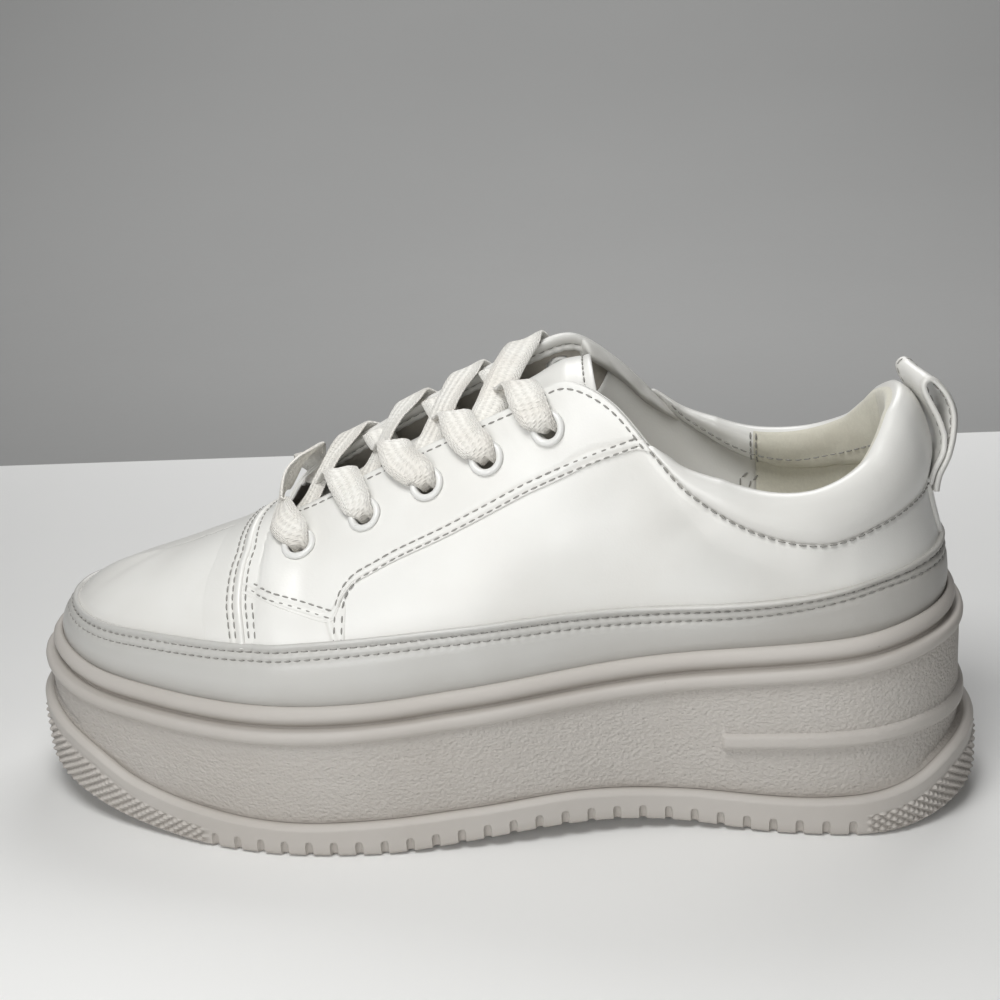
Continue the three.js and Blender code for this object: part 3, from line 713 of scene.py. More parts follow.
def woven_cotton(name, colour):
    """Flat woven lace: fine ribs along it, crossed by the weft, random soil, and painted shade in its pits
    and where it is pinched or hidden.
    """
    finish = Finish(name, specular_ior_level=0.2, sheen_weight=0.25, sheen_roughness=0.6)
    weave = finish.coordinates("UV")
    place = finish.coordinates()
    across = finish.node("SeparateXYZ", "X", {}, {"Vector": weave})
    length = finish.node("SeparateXYZ", "Y", {}, {"Vector": weave})
    wobble = finish.noise(place, 500, 3.0)
    rows = finish.maths("SINE", (length + 0.5 * wobble) * (2 * math.pi / 0.8))
    warps = finish.maths("SINE", across * (2 * math.pi / 0.85) + rows * 0.7 + wobble * 1.5)
    plait = finish.maths("SINE", across * (math.pi / 0.85) + length * (2 * math.pi / 1.7))
    fuzz = finish.noise(place, 3800, 3.0, 0.7)
    soil = finish.noise(place, 70, 4.0, 0.6)
    dust = finish.mark("dust")
    height = 0.5 + 0.3 * warps + 0.2 * plait + 0.16 * rows + 0.3 * fuzz
    pits = 1 - height.between(0.3, 0.7)
    base = finish.blend(soil.between(0.35, 0.7), tint(colour, 1.03, -0.002), tint(colour, 0.93, 0.02))
    # Painted shade in the weave's pits.
    base = finish.blend(pits * 0.36, base, tint(colour, 0.7, 0.02))
    # Painted shade where the lace is pinched through an eyelet and at its hidden ends.
    base = finish.blend(dust * (0.4 + 0.6 * soil), base, tint(colour, 0.52, 0.08))
    return finish.finished(base, 0.82 + 0.12 * fuzz, height, 0.3)


def sewing_thread(name, colour):
    """Polyester thread, with painted shade where it dives into its needle holes."""
    finish = Finish(name, specular_ior_level=0.35, sheen_weight=0.2)
    place = finish.coordinates()
    dive = finish.mark("dive")
    twist = finish.noise(place, 2600, 2.0)
    base = finish.blend(twist, tint(colour, 0.9), tint(colour, 1.05))
    # Painted shade at both ends of each stitch, where it dives into the leather.
    base = finish.blend(dive.between(0.25, 0.95), base, tint(colour, 0.2, 0.03))
    return finish.finished(base, 0.62 + 0.2 * twist, twist, 0.05)


def enamel(name, colour):
    """Painted metal ring with a rubbed rim."""
    finish = Finish(name, coat_roughness=0.2)
    place = finish.coordinates()
    worn = finish.noise(place, 420, 4.0, 0.7)
    chips = worn.between(0.66, 0.72)
    base = finish.blend(worn, tint(colour, 0.96), tint(colour, 1.02))
    base = finish.blend(chips * 0.5, base, (0.42, 0.41, 0.39, 1))
    return finish.finished(base, 0.26 + 0.16 * worn + 0.1 * chips, worn, 0.02, coat=0.3)


def studio_paper(name, colour):
    finish = Finish(name, specular_ior_level=0.3)
    place = finish.coordinates()
    broad = finish.noise(place, 2.2, 4.0, 0.6)
    fine = finish.noise(place, 160, 4.0, 0.7)
    base = finish.blend(broad.between(0.3, 0.7), tint(colour, 0.985), tint(colour, 1.01))
    return finish.finished(base, 0.55 + 0.1 * fine, fine, 0.03)


# ---- sizes and colours that a user would change ------------------------------------------
def colour_property(name, description, default):
    return FloatVectorProperty(
        name=name, description=description, default=default, size=3, min=0, max=1, subtype="COLOR")


def length_property(name, description, default):
    return FloatProperty(
        name=name, description=description, default=default * MM, unit="LENGTH", subtype="DISTANCE")


class SneakerColours(bpy.types.PropertyGroup):
    """Colours of the shoe's materials."""

    leather: colour_property("Leather", "Coated leather of the upper", (0.79, 0.785, 0.755))
    rubber: colour_property("Rubber", "Foam rubber of the platform", (0.5, 0.472, 0.44))
    lining: colour_property("Lining", "Brushed lining of the heel", (0.66, 0.64, 0.55))
    backing: colour_property("Backing", "Cloth behind the facings", (0.36, 0.335, 0.295))
    lace: colour_property("Laces", "Flat cotton laces", (0.84, 0.825, 0.78))
    # The thread is white; this dark grey is painted shade, standing for the shadow in the stitch grooves.
    thread: colour_property("Thread", "Sewing thread", (0.3, 0.295, 0.275))
    eyelet: colour_property("Eyelets", "Enamel of the eyelets", (0.76, 0.76, 0.74))
    floor: colour_property("Floor", "Plain paper floor", (0.86, 0.86, 0.85))


class SneakerSizes(bpy.types.PropertyGroup):
    """Sizes of the trim."""

    guard: length_property("Guard thickness", "How far the band round the foot stands proud", 1.1)
    facing: length_property("Facing thickness", "Thickness of the eyelet facings", 0.55)
    pitch: length_property("Stitch pitch", "From one stitch to the next", 2.8)
    stitch: length_property("Stitch length", "Thread that shows of one stitch", 2.15)
    thread: length_property("Thread width", "Width of the sewing thread", 0.56)
    lace_width: length_property("Lace width", "Width of the flat lace", 10.2)
    lace_thick: length_property("Lace thickness", "Thickness of the flat lace", 1.25)
    knurl: length_property("Knurl pitch", "Length of one diamond on the bumpers", 3.4)
    slot_depth: length_property("Slot depth", "Depth of the notches in the sole's edge", 1.0)


def sizes(name):
    """A size of the trim, in millimetres."""
    return getattr(bpy.context.scene.sneaker_sizes, name) / MM


@lru_cache(maxsize=None)
def finish_named(name):
    """The material of that name, made at its first use."""
    colours = bpy.context.scene.sneaker_colours
    make, *values = {
        "upper_leather": (leather, colours.leather),
        # Painted shade: the guard is the same leather as the upper, kept darker to stand for the shade on
        # its steep face.
        "guard_leather": (leather, tint(colours.leather, 0.68, 0.004)),
        "collar_leather": (leather, colours.leather, 0.26),
        "lining_leather": (leather, tint(colours.leather, 0.86, 0.004), 0.4),
        "foam_rubber": (foam_rubber, colours.rubber),
        "heel_lining": (brushed_cloth, colours.lining),
        "facing_backing": (brushed_cloth, colours.backing, 0.16),
        "insole_cloth": (brushed_cloth, tint(colours.lining, 0.95), 0.1),
        "lace_cotton": (woven_cotton, colours.lace),
        "sewing_thread": (sewing_thread, colours.thread),
        "eyelet_enamel": (enamel, colours.eyelet),
        "paper": (studio_paper, colours.floor),
        "grey_paper": (studio_paper, tint(colours.floor, 0.4)),
    }[name]
    return make(name, *values)


# ---- stage -------------------------------------------------------------------------------
def soft_lamp(name, place, target, size, power, colour=(1, 1, 1)):
    data = bpy.data.lights.new(name, "AREA")
    data.shape = "RECTANGLE"
    data.size, data.size_y = size
    data.energy = power
    data.color = colour
    lamp = bpy.data.objects.new(name, data)
    lamp.location = place
    lamp.rotation_euler = (Vector(target) - Vector(place)).to_track_quat("-Z", "Y").to_euler()
    lamp.visible_camera = False
    bpy.context.scene.collection.objects.link(lamp)


def add_camera():
    """Looks down at the outer side from a little ahead of the heel, rolled slightly."""
    yaw, pitch, roll = 0.13, 0.31, -0.07
    place = Vector((0.05983, -0.40361, 0.21717))
    focal, sensor = 52.48, 36.0
    level_right = Vector((math.cos(yaw), math.sin(yaw), 0))
    level_ahead = Vector((-math.sin(yaw), math.cos(yaw), 0))
    up = Vector((0, 0, 1))
    ahead = level_ahead * math.cos(pitch) - up * math.sin(pitch)
    raised = level_ahead * math.sin(pitch) + up * math.cos(pitch)
    right = level_right * math.cos(roll) + raised * math.sin(roll)
    top = raised * math.cos(roll) - level_right * math.sin(roll)
    data = bpy.data.cameras.new("camera")
    data.lens = focal
    data.sensor_width = sensor
    data.clip_start = 0.02
    camera = bpy.data.objects.new("camera", data)
    turn = Matrix((right, top, -ahead)).transposed()
    camera.matrix_world = Matrix.Translation(place) @ turn.to_4x4()
    bpy.context.scene.collection.objects.link(camera)
    bpy.context.scene.camera = camera


def paper_sheet(name, half, path, finish):
    """Paper of the stage, level across, that runs back along a path of y and z."""
    bm = net(1, len(path) - 1, lambda i, j: Vector((half * (2 * i - 1), *path[j])))
    mesh = bpy.data.meshes.new(name)
    bm.to_mesh(mesh)
    bm.free()
    mesh.polygons.foreach_set("use_smooth", [True] * len(mesh.polygons))
    mesh.materials.append(finish_named(finish))
    sheet = bpy.data.objects.new(name, mesh)
    bpy.context.scene.collection.objects.link(sheet)


def add_stage():
    """Pale floor, grey paper that curves up behind it, a soft world and four lamps."""
    half, near, edge, far, height, curve = 2.6, -2.0, 0.36, 1.9, 2.6, 1.2
    paper_sheet("floor", half, [(near + (edge - near) * k / 4, 0) for k in range(5)], "paper")
    turns = [math.pi / 2 * k / 16 for k in range(17)]
    rise = [(far - curve + curve * math.sin(turn), curve * (1 - math.cos(turn))) for turn in turns]
    paper_sheet("backdrop", half, [(edge, 0), *rise, (far, height)], "grey_paper")
    world = bpy.data.worlds.new("world")
    world.use_nodes = True
    world.node_tree.nodes["Background"].inputs["Color"].default_value = (0.98, 0.99, 1, 1)
    world.node_tree.nodes["Background"].inputs["Strength"].default_value = 0.06
    bpy.context.scene.world = world
    soft_lamp("key", (-0.05, -0.2, 0.46), (0.0, 0.0, 0.05), (0.22, 0.2), 1.34, (1, 1, 0.99))
    soft_lamp("front", (-0.14, -0.64, 0.24), (0, 0, 0.07), (0.5, 0.34), 1.75)
    soft_lamp("rim", (0.1, 0.55, 0.75), (0, 0, 0.05), (0.6, 0.4), 3.0)
    soft_lamp("backdrop_lamp", (-0.15, 0.62, 0.95), (-0.15, 1.7, 0.3), (1.8, 0.4), 13)
    bpy.context.scene.view_settings.view_transform = "Standard"


# ---- platform ----------------------------------------------------------------------------
def heel_lean(u, inset):
    reach, most = 0.16, 2.2
    return inset + most * clamp(1 - (1 - u) / reach) * ((FEATHER - GAP - inset) / FEATHER)


def midsole_rows():
    """Height, inset, grain and painted shade up the platform's wall, lip, ledge and bead."""
    def wall_top(u):
        return ledge(u) - LIP

    def ridge_top(u):
        return min(RIDGE_TOP + 3.6 * clamp((u - RIDGE_FROM) / 0.2), wall_top(u) - 1)

    def ridge_foot(u):
        return max(ridge_top(u) - RIDGE_TALL, band_top(u) + 1)

    def on_ridge(u):
        return ease((u - RIDGE_FROM) / 0.005)

    rows = []

    def row(start, rise, inset, grain=0.0, dust=0.0, leans=True):
        rows.append((lambda u: start(u) + rise, lambda u: heel_lean(u, inset) if leans else inset,
                     lambda u: grain, dust))

    def wall_rows(foot, top, count, inset, dust):
        """Rows evenly between two heights, which the first and last of them don't reach."""
        for k in range(1, count):
            rows.append((lambda u, k=k: foot(u) + (top(u) - foot(u)) * k / count,
                         lambda u: heel_lean(u, inset), lambda u: 1.0, dust(k)))

    def ridge_row(rise, base, share, grain):
        start, lift = (ridge_foot, rise) if rise < 2 else (ridge_top, rise - RIDGE_TALL)
        rows.append((lambda u: start(u) + lift, lambda u: heel_lean(u, base) - 1.6 * share * on_ridge(u),
                     lambda u: 1 - on_ridge(u) * (1 - grain), 0.1))

    row(band_top, -1.5, RIM + GAP, leans=False)
    # Painted shade in the crease where the wall meets the band's rim; the wall's rows above fade it out
    # going up.
    row(band_top, 0.15, RIM - 0.4, 0.0, 0.9, leans=False)
    row(band_top, 0.2, 2.7, 0.2, 1.0, leans=False)
    row(band_top, 0.9, 3.0, 1.0, 0.7)
    wall_rows(lambda u: band_top(u) + 0.9, ridge_foot, 5, 3.1, lambda k: 0.2 - 0.04 * k)
    for rise, base, share, grain in (
            (-0.1, 3.2, 0.0, 1.0), (0.12, 3.2, 0.75, 0.3), (0.45, 3.2, 1.0, 0.2), (1.5, 3.25, 1.05, 0.2),
            (3.2, 3.3, 1.0, 0.2), (3.75, 3.35, 0.9, 0.2), (4.1, 3.4, 0.6, 0.3), (4.3, 3.4, 0.1, 1.0)):
        ridge_row(rise, base, share, grain)
    wall_rows(lambda u: ridge_top(u) + 0.5, lambda u: wall_top(u) - 0.8, 4, 3.35, lambda k: 0.0)
    # Painted shade under the lip.
    for rise, inset, grain, dust in (
            (-0.6, 3.4, 1.0, 0.2), (-0.1, 3.2, 0.3, 0.35), (0.35, 2.45, 0.0, 0.1), (1.2, 2.1, 0.0, 0.0)):
        row(wall_top, rise, inset, grain, dust)
    # Painted shade in the channel between lip and bead, and in the crease where the bead meets the upper.
    for rise, inset, dust in (
            (-1.5, 2.05, 0), (-0.6, 2.35, 0), (-0.1, 3.0, 0), (-0.05, 3.8, 0), (-0.25, 5.0, 0.2),
            (-0.3, 6.3, 0.7), (0.2, 6.6, 0.8), (0.9, 6.1, 0.4), (1.8, 5.35, 0.05), (3.0, 5.0, 0),
            (4.2, 5.3, 0), (5.2, 6.1, 0), (5.8, 7.1, 0), (5.7, 7.9, 0.5)):
        row(ledge, rise, inset, 0.0, dust)
    row(ledge, 5.0, 8.5, 0.0, 1.0, leans=False)
    row(ledge, BEAD - TUCK + GAP, FEATHER - GAP, leans=False)
    row(ledge, BEAD - TUCK - GAP, FEATHER, leans=False)
    return rows


def build_midsole():
    """Platform with its rib, lip, ledge and bead, and the cup that holds the upper."""
    places, _ = even_round(600, 3.0)
    ridge = station_at(RIDGE_FROM)
    for shift in (-0.0006, 0.0006, 0.0018, 0.003, 0.0042):
        places += [ridge + shift, 2 - ridge - shift]
    places.sort()
    count = len(places) - 1
    rows = midsole_rows()

    def place(i, j):
        s, side = side_of(places[i])
        u = along(s)
        if j == 0:
            return sole_middle(s, FEATHER, ground_gap(u) + PLATE + GAP), 0, 0
        if j == 1:
            return sole_edge(s, side, RIM + GAP, ground_gap(u) + PLATE + GAP), 0, 0
        if j == len(rows) + 2:
            return sole_middle(s, FEATHER, ledge(u) + BEAD - TUCK - GAP), 0, 0
        z, inset, grain, dust = rows[j - 2]
        point = sole_edge(s, side, inset(u), z(u))
        wave = 0.16 * soft_noise(point, 0.05) * (1 - 0.5 * grain(u))
        return point + outward(s, side) * wave, grain(u), dust

    bm = closed(net(count, len(rows) + 2, place, marks=("grain", "dust")))
    return make_piece("platform", bm, "foam_rubber", ["midsole"], sharp=60)


def slot_cut(x, z_above, width=2.0, rise=4.6):
    """1 inside a notch of the sole's edge, 0 outside; the notch's top is round."""
    k = round((x - FIRST_SLOT_X) / SLOT_PITCH)
    if k < 0 or k >= SLOT_COUNT:
        return 0.0
    across = abs(x - FIRST_SLOT_X - k * SLOT_PITCH)
    top = rise - 1.0 * (across / (width / 2)) ** 2
    return ease((width / 2 + 0.15 - across) / 0.35) * ease((top + 0.25 - z_above) / 0.5)


def outsole_stations():
    """Stations close together at each notch's walls and over both knurled bumpers."""
    near_slot = (-2.4, -1.4, -1.15, -0.95, -0.5, 0, 0.5, 0.95, 1.15, 1.4, 2.4)
    spots = [FIRST_SLOT_X + k * SLOT_PITCH + d for k in range(SLOT_COUNT) for d in near_slot]
    found = [station_at(x / LENGTH + 0.5) for x in spots]
    for low, high in ((0.0, min(found) - 0.004), (max(found) + 0.004, 1.0)):
        places, run = even_round(1000, 0.2, low, high)
        steps = math.ceil(run / 0.55)
        places, _ = even_round(steps, 0.2, low, high)
        found += places
    return sorted(set(round(s, 6) for s in found))


def build_outsole():
    """Tread plate and side band: rounded rim, diamond-knurled bumpers, notches and grooves."""
    stations = outsole_stations()
    depth = sizes("slot_depth")
    pitch, tall = sizes("knurl"), 2.3
    raised_by, sunk_by = 0.75, 0.4
    bar_pitch, groove_deep = 13, 1.2
    fade = 1.5                     # over which the knurl dies away before the first and last slot
    side_run = {}
    for side in (OUTER, INNER):
        side_run[side] = run_along([edge_point(s, side) for s in stations])
    first_slot = station_at(SLOT_FIRST - 0.012)
    last_slot = station_at(SLOT_FIRST + SLOT_PITCH * (SLOT_COUNT - 1) / LENGTH + 0.012)
    wall_rows, under_rows = 56, 14
    turned = 0.06                  # share of the wall's rows on its turned lower edge

    def knurl(i, side, z, low, high):
        s = stations[i]
        if first_slot < s < last_slot:
            return 0.0, 0.0
        run = side_run[side]
        if s <= first_slot:
            far = run[i]
            edge = ease((run[bisect_right(stations, first_slot)] - run[i]) / fade)
        else:
            far = run[-1] - run[i]
            edge = ease((run[i] - run[bisect_right(stations, last_slot)]) / fade)
        a = far / pitch + (z - low) / tall
        b = far / pitch - (z - low) / tall
        diamond = 2 * min(abs((a % 1) - 0.5), abs((b % 1) - 0.5))
        inside = ease((high - z) / 0.5) * ease((z - low) / 0.8) * edge
        raised = min(1.0, 1.3 * diamond)
        return ((raised_by + sunk_by) * raised - sunk_by) * inside, (1 - raised) ** 2 * inside

    def wall(i, side, k):
        """Up the outside of the band, from the tread's edge to the top of the rim."""
        s = stations[i]
        u = along(s)
        bottom, top = ground_gap(u), band_top(u)
        height = top - bottom
        share = k / wall_rows
        rim_low = top - RIM_TALL
        if share <= turned:
            z, inset = bottom + share / turned * 0.4, TREAD_EDGE - share / turned * 0.9
        else:
            z = bottom + 0.4 + (height - 0.4) * (share - turned) / (1 - turned)
            inset = 0.7 - 0.7 * ease((z - bottom) / 1.4)
        from_top = top - z
        rim = 0.2 * ease((z - rim_low) / 0.9) - 0.12 * ease((z - rim_low + 1.2) / 1.2)
        rim *= ease((height - 12) / 4)
        inset += 1.5 * clamp(1 - from_top / 1.3) ** 2
        bump, groove = knurl(i, side, z, bottom + 0.8, rim_low - 0.4)
        cut = slot_cut(edge_point(s, side).x, z - bottom)
        # Darker towards the ground; painted shade in the notches and the knurl's grooves.
        dust = clamp(0.5 * (1 - (z - bottom) / 3.5)) + 0.3 * cut + 0.75 * groove
        return sole_edge(s, side, inset - rim - bump + cut * depth, z), 0.0, clamp(dust)

    def under(i, v):
        """Across the tread, with a groove from each notch to the one opposite."""
        s = stations[i]
        u = along(s)
        a, b = sole_edge(s, OUTER, TREAD_EDGE), sole_edge(s, INNER, TREAD_EDGE)
        point = a.lerp(b, v)
        groove = slot_cut(LENGTH * (u - 0.5), 0.0)
        edge = ease(min(v, 1 - v) * (b - a).length / 3)
        bars = 0.0
        if first_slot < s < last_slot:
            bars = 0.5 * ease(math.cos(v * (b - a).length * 2 * math.pi / bar_pitch) * 2 - 0.6) * edge
        point.z = ground_gap(u) + groove_deep * groove + bars
        return point, 0.0, 0.35 + 0.5 * groove

    def inside(i, side, k):
        s = stations[i]
        top, plate = band_top(along(s)), ground_gap(along(s)) + PLATE
        inset, z = ((2.6, top + 0.02), (RIM, top - 0.1), (RIM, plate))[k]
        return sole_edge(s, side, inset, z), 0.0, 0.6

    def plate_middle(i):
        s = stations[i]
        return sole_middle(s, RIM, ground_gap(along(s)) + PLATE), 0.0, 0.5

    def half_section(side):
        """Steps up one side's wall, over its rim and down to the middle of the plate."""
        up = [partial(wall, side=side, k=k) for k in range(wall_rows + 1)]
        return up + [partial(inside, side=side, k=k) for k in range(3)] + [plate_middle]

    below = [partial(under, v=1 - k / under_rows) for k in range(1, under_rows)]
    steps = half_section(INNER)[::-1] + below + half_section(OUTER)
    bm = closed(net(len(stations) - 1, len(steps) - 1, lambda i, j: steps[j](i), marks=("grain", "dust")))
    return make_piece("tread_and_band", bm, "foam_rubber", ["outsole"], sharp=45)


def build_insole():
    """Cloth-covered footbed, dished under the heel and ball, its edge turned up a little."""
    count, inset = 300, FEATHER + WALL + 2 * GAP
    places, _ = even_round(count, inset)
    shares = [0, 0, 0.02, 0.06, 0.15, 0.3, 0.5, 0.7, 0.88, 1]
    lifts = [0, 3.6, 4.5, 4.9, 4.6, 4.3, 4.1, 4.0, 4.0, 4.0]

    def place(i, j):
        s, side = side_of(places[i])
        point = sole_edge(s, side, inset).lerp(sole_middle(s, inset), shares[j])
        point.z = ledge(along(s)) + BEAD - TUCK + GAP + lifts[j]
        if j > 2:
            point.z += 0.35 * soft_noise(point, 0.06)
        return point

    bm = net(count, len(shares) - 1, place)
    bmesh.ops.remove_doubles(bm, verts=bm.verts, dist=WELD)
    bmesh.ops.recalc_face_normals(bm, faces=bm.faces)
    return make_piece("footbed", bm, "insole_cloth", ["insole"])


# ---- upper -------------------------------------------------------------------------------
def upper_columns():
    """Places round the upper, closer together where the throat opens."""
    places, _ = even_round(440, FEATHER)
    extra = [THROAT + 0.0025 * k for k in range(16)]
    places = [w for w in places if not any(abs(side_of(w)[0] - e) < 0.0012 for e in extra)]
    places += extra + [2 - e for e in extra]
    return sorted(places)


def guard_top(w):
    """Height share t of the guard's top edge at a place round the shoe."""
    s, side = side_of(w)
    goal = rib(round(s, 7), side)[0].z + GUARD.at("rise", s)
    return halved(0.0, 0.8, 22, lambda t: upper_point(w, t).z < goal)


def build_upper_skin():
    """Outer leather from the cup to the throat and collar seam, open at both."""
    columns = upper_columns()
    rows = [-0.8, -0.3] + [k / 58 for k in range(59)]
    tops = [guard_top(w) for w in columns]

    def place(i, j):
        w, t = columns[i], rows[j]
        point, normal, _, _ = upper_frame(w, t)
        point = pierced(point)
        s, side = side_of(w)
        seam = 0.8 * clamp(1 - (1 - t) * 50 / 3.5) if s > CORNER else 0.0
        relief = leather_relief(point, side) * ease(t / 0.1) - 0.5 * seam
        guard = clamp(1 - (t - tops[i]) * 14)
        # Painted shade in the groove along the collar seam and under the guard's top edge.
        return point + normal * relief, 0.55 * seam + 0.22 * guard

    bm = net(len(columns) - 1, len(rows) - 1, place, marks=("dust",))
    cut_holes(bm)
    bmesh.ops.remove_doubles(bm, verts=bm.verts, dist=WELD)
    return make_piece("upper_skin", bm, "upper_leather facing_backing", ["upper"],
                      wall=1.1, second=1)


def build_linings():
    """Inside of the upper: coated leather ahead of the ankle seam, brushed cloth behind it."""
    columns = upper_columns()
    rows = [-0.7, 0.0] + [k / 30 for k in range(1, 31)]
    for name, finish, inset, ahead in (
            ("front_lining", "lining_leather", 1.3, True), ("heel_lining", "heel_lining", 1.4, False)):
        def place(i, j, inset=inset):
            w = columns[i]
            s = side_of(w)[0]
            reach = 0.72 + 0.28 * ease((s - 0.595) / 0.03)
            t = rows[j] * reach if rows[j] > 0 else rows[j]
            point, normal, _, _ = upper_frame(w, t)
            return point - normal * (inset + 0.12 * soft_noise(point, 0.12)), 0.0

        bm = net(len(columns) - 1, len(rows) - 1, place, marks=("dust",))
        everything = bm.verts[:] + bm.edges[:] + bm.faces[:]
        bmesh.ops.bisect_plane(bm, geom=everything, plane_co=(LINING_SEAM, 0, 0), plane_no=(1, 0, 0),
                               clear_outer=ahead, clear_inner=not ahead)
        bmesh.ops.remove_doubles(bm, verts=bm.verts, dist=WELD)
        make_piece(name, bm, finish, wall=0.6)


def padding_depth(s):
    """How far the padding hangs below the edge: less and less as the roll takes over."""
    return 1.2 + 5.2 * (1 - ease((s - 0.64) / 0.055))


def build_front_padding():
    """Soft wrinkled padding inside the rear of each facing, running on under the roll."""
    columns, rows = 120, 20
    first, last = 0.592, 0.705
    for side, name in SIDES:
        def place(i, j, side=side):
            share, v = i / columns, j / rows
            s = first + (last - first) * share
            w = round_place(s, side)
            point, normal, _, _ = upper_frame(w, below_edge(w, v * padding_depth(s)))
            ends = ease(share / 0.08) * ease((1 - share) / 0.4)
            swell = 3.0 * math.sin(math.pi * clamp(v * 0.94 + 0.04)) ** 0.6 * ends
            wander = 1.5 * soft_noise(point, 0.08)
            wrinkle = math.sin(point.x * 1.15 + point.z * 0.55 + wander) * math.sin(math.pi * v)
            swell += ends * (0.4 * wrinkle + 0.8 * soft_noise(point, 0.16))
            # Painted shade along the padding's lower edge and in its wrinkles.
            return point - normal * (0.9 + swell), 0.4 * hump((v - 0.96) / 0.06) + 0.06 * (1 - wrinkle)

        bm = net(columns, rows, place, marks=("dust",))
        if side == OUTER:
            bmesh.ops.reverse_faces(bm, faces=bm.faces)
        make_piece("front_padding_" + name, bm, "lining_leather", wall=0.4)


def build_guard():
    """Sewn band round the foot of the upper, with a turned edge and two seam channels."""
    thick = sizes("guard")
    count = 760
    columns, run = even_round(count, FEATHER)
    stitches = round(run / sizes("pitch"))
    profile = [(0.02, -0.5), (-0.1, 0.4), (0.0, 0.95), (0.25, 1.25), (0.65, 1.36), (1.15, 1.2),
               (1.65, 0.8), (2.2, 0.52), (2.75, 0.8), (3.4, 1.0), (4.05, 0.8), (4.6, 0.54),
               (5.15, 0.8), (5.9, 0.98), (7.2, 1.0)]
    tops = [guard_top(w) for w in columns]
    speeds = [surface_run(w, top)[1] for w, top in zip(columns, tops)]
    tucked = (-0.6, -0.15, 0.0)
    low_rows = 7

    def row_at(i, j):
        """t, share of the thickness, and distance below the top edge."""
        if j < len(tucked):
            return tucked[j], 0.9, 12.0
        j -= len(tucked)
        if j < low_rows:
            start = tops[i] - profile[-1][0] / speeds[i]
            return start * (j + 1) / (low_rows + 1), 1.0, 10.0
        below, share = profile[low_rows - 1 - j]
        return tops[i] - below / speeds[i], share, below

    def place(i, j):
        t, share, below = row_at(i, j)
        point, normal, _, _ = upper_frame(columns[i], t)
        pull = sum(hump((below - row) / 0.7) for row in GUARD_ROWS)
        pucker = 0.2 * pull * math.cos(2 * math.pi * stitches * i / count)
        relief = leather_relief(point, side_of(columns[i])[1]) * ease(t / 0.1) * ease(below / 4 + 0.4)
        # Painted shade low down by the bead, in the stitch channels, and growing towards the heel where the
        # band turns from the light.
        dust = 0.55 * clamp(1 - t * 12) + 0.4 * pull + 0.7 * ease((point.x - 30) / 90)
        return point + normal * (thick * share + pucker + relief), clamp(dust)

    bm = net(count, len(tucked) + low_rows + len(profile) - 1, place, marks=("dust",))
    bmesh.ops.remove_doubles(bm, verts=bm.verts, dist=WELD)
    return make_piece("guard_band", bm, "guard_leather", wall=0.9)


# Lines on the side of the upper, x and z, which seams and panel edges follow
FACING_FRONT = [(-62.6, 70.9), (-57, 69.6), (-52, 68.7), (-43.3, 66.6), (-37.6, 65.2)]
FACING_EDGE = [(-34.4, 65.6), (-33.2, 68.0), (-32.3, 71.0), (-29.4, 74.5), (-24.6, 77), (-17.1, 80.7),
               (-5.1, 85.7), (6.7, 91.1), (19.2, 97.1), (31.6, 102.5), (49.4, 109.8)]
PANEL_EDGE = [(-33.5, 58.5), (-33.4, 60.6), (-33.2, 64), (-33.1, 67.2)]
FOLD_LINE = [(-62.7, 58.9), (-63.5, 63.7), (-64.6, 68.6), (-64.9, 73.4), (-64.8, 76.7), (-64.2, 80.1)]
FOLD_TOP = 0.3275


@lru_cache(maxsize=None)
def fold_course():
    spots = [on_side(x, z, OUTER) for x, z in FOLD_LINE]
    rows = [(0.0, spots[0][0] + 0.001)] + [(t, s) for s, t in spots] + [(1.0, FOLD_TOP)]
    return Table("t s", rows)


@lru_cache(maxsize=None)
def fold_station(t):
    """Station of the vamp's fold at height t."""
    return fold_course().at("s", clamp(t))


@lru_cache(maxsize=None)
def spots_along(line, side, steps):
    """Even steps of station and height along a line given in x and z on one side."""
    drawn = smooth_path([Vector((x, 0, z)) for x, z in line], 3 * len(line))
    spots = [Vector((*on_side(p.x, p.z, side), 0)) for p in drawn]
    return [(p.x, p.y) for p in smooth_path(spots, steps)]


def track(line, side, steps=90):
    """Even steps of (w, t) along a line given in x and z on one side of the upper."""
    return [(round_place(s, side), t) for s, t in spots_along(tuple(line), side, steps)]


# How an overlay's thickness grows from its cut edge, past two stitched channels, in millimetres
EDGE_SHAPE = Table("d share", [
    (-0.1, -0.9), (0.0, 0.35), (0.15, 0.85), (0.45, 1.0), (0.95, 0.62), (1.4, 1.05), (2.0, 1.22),
    (2.6, 1.05), (3.05, 0.66), (3.6, 0.98), (4.5, 1.0), (6.0, 1.0),
])


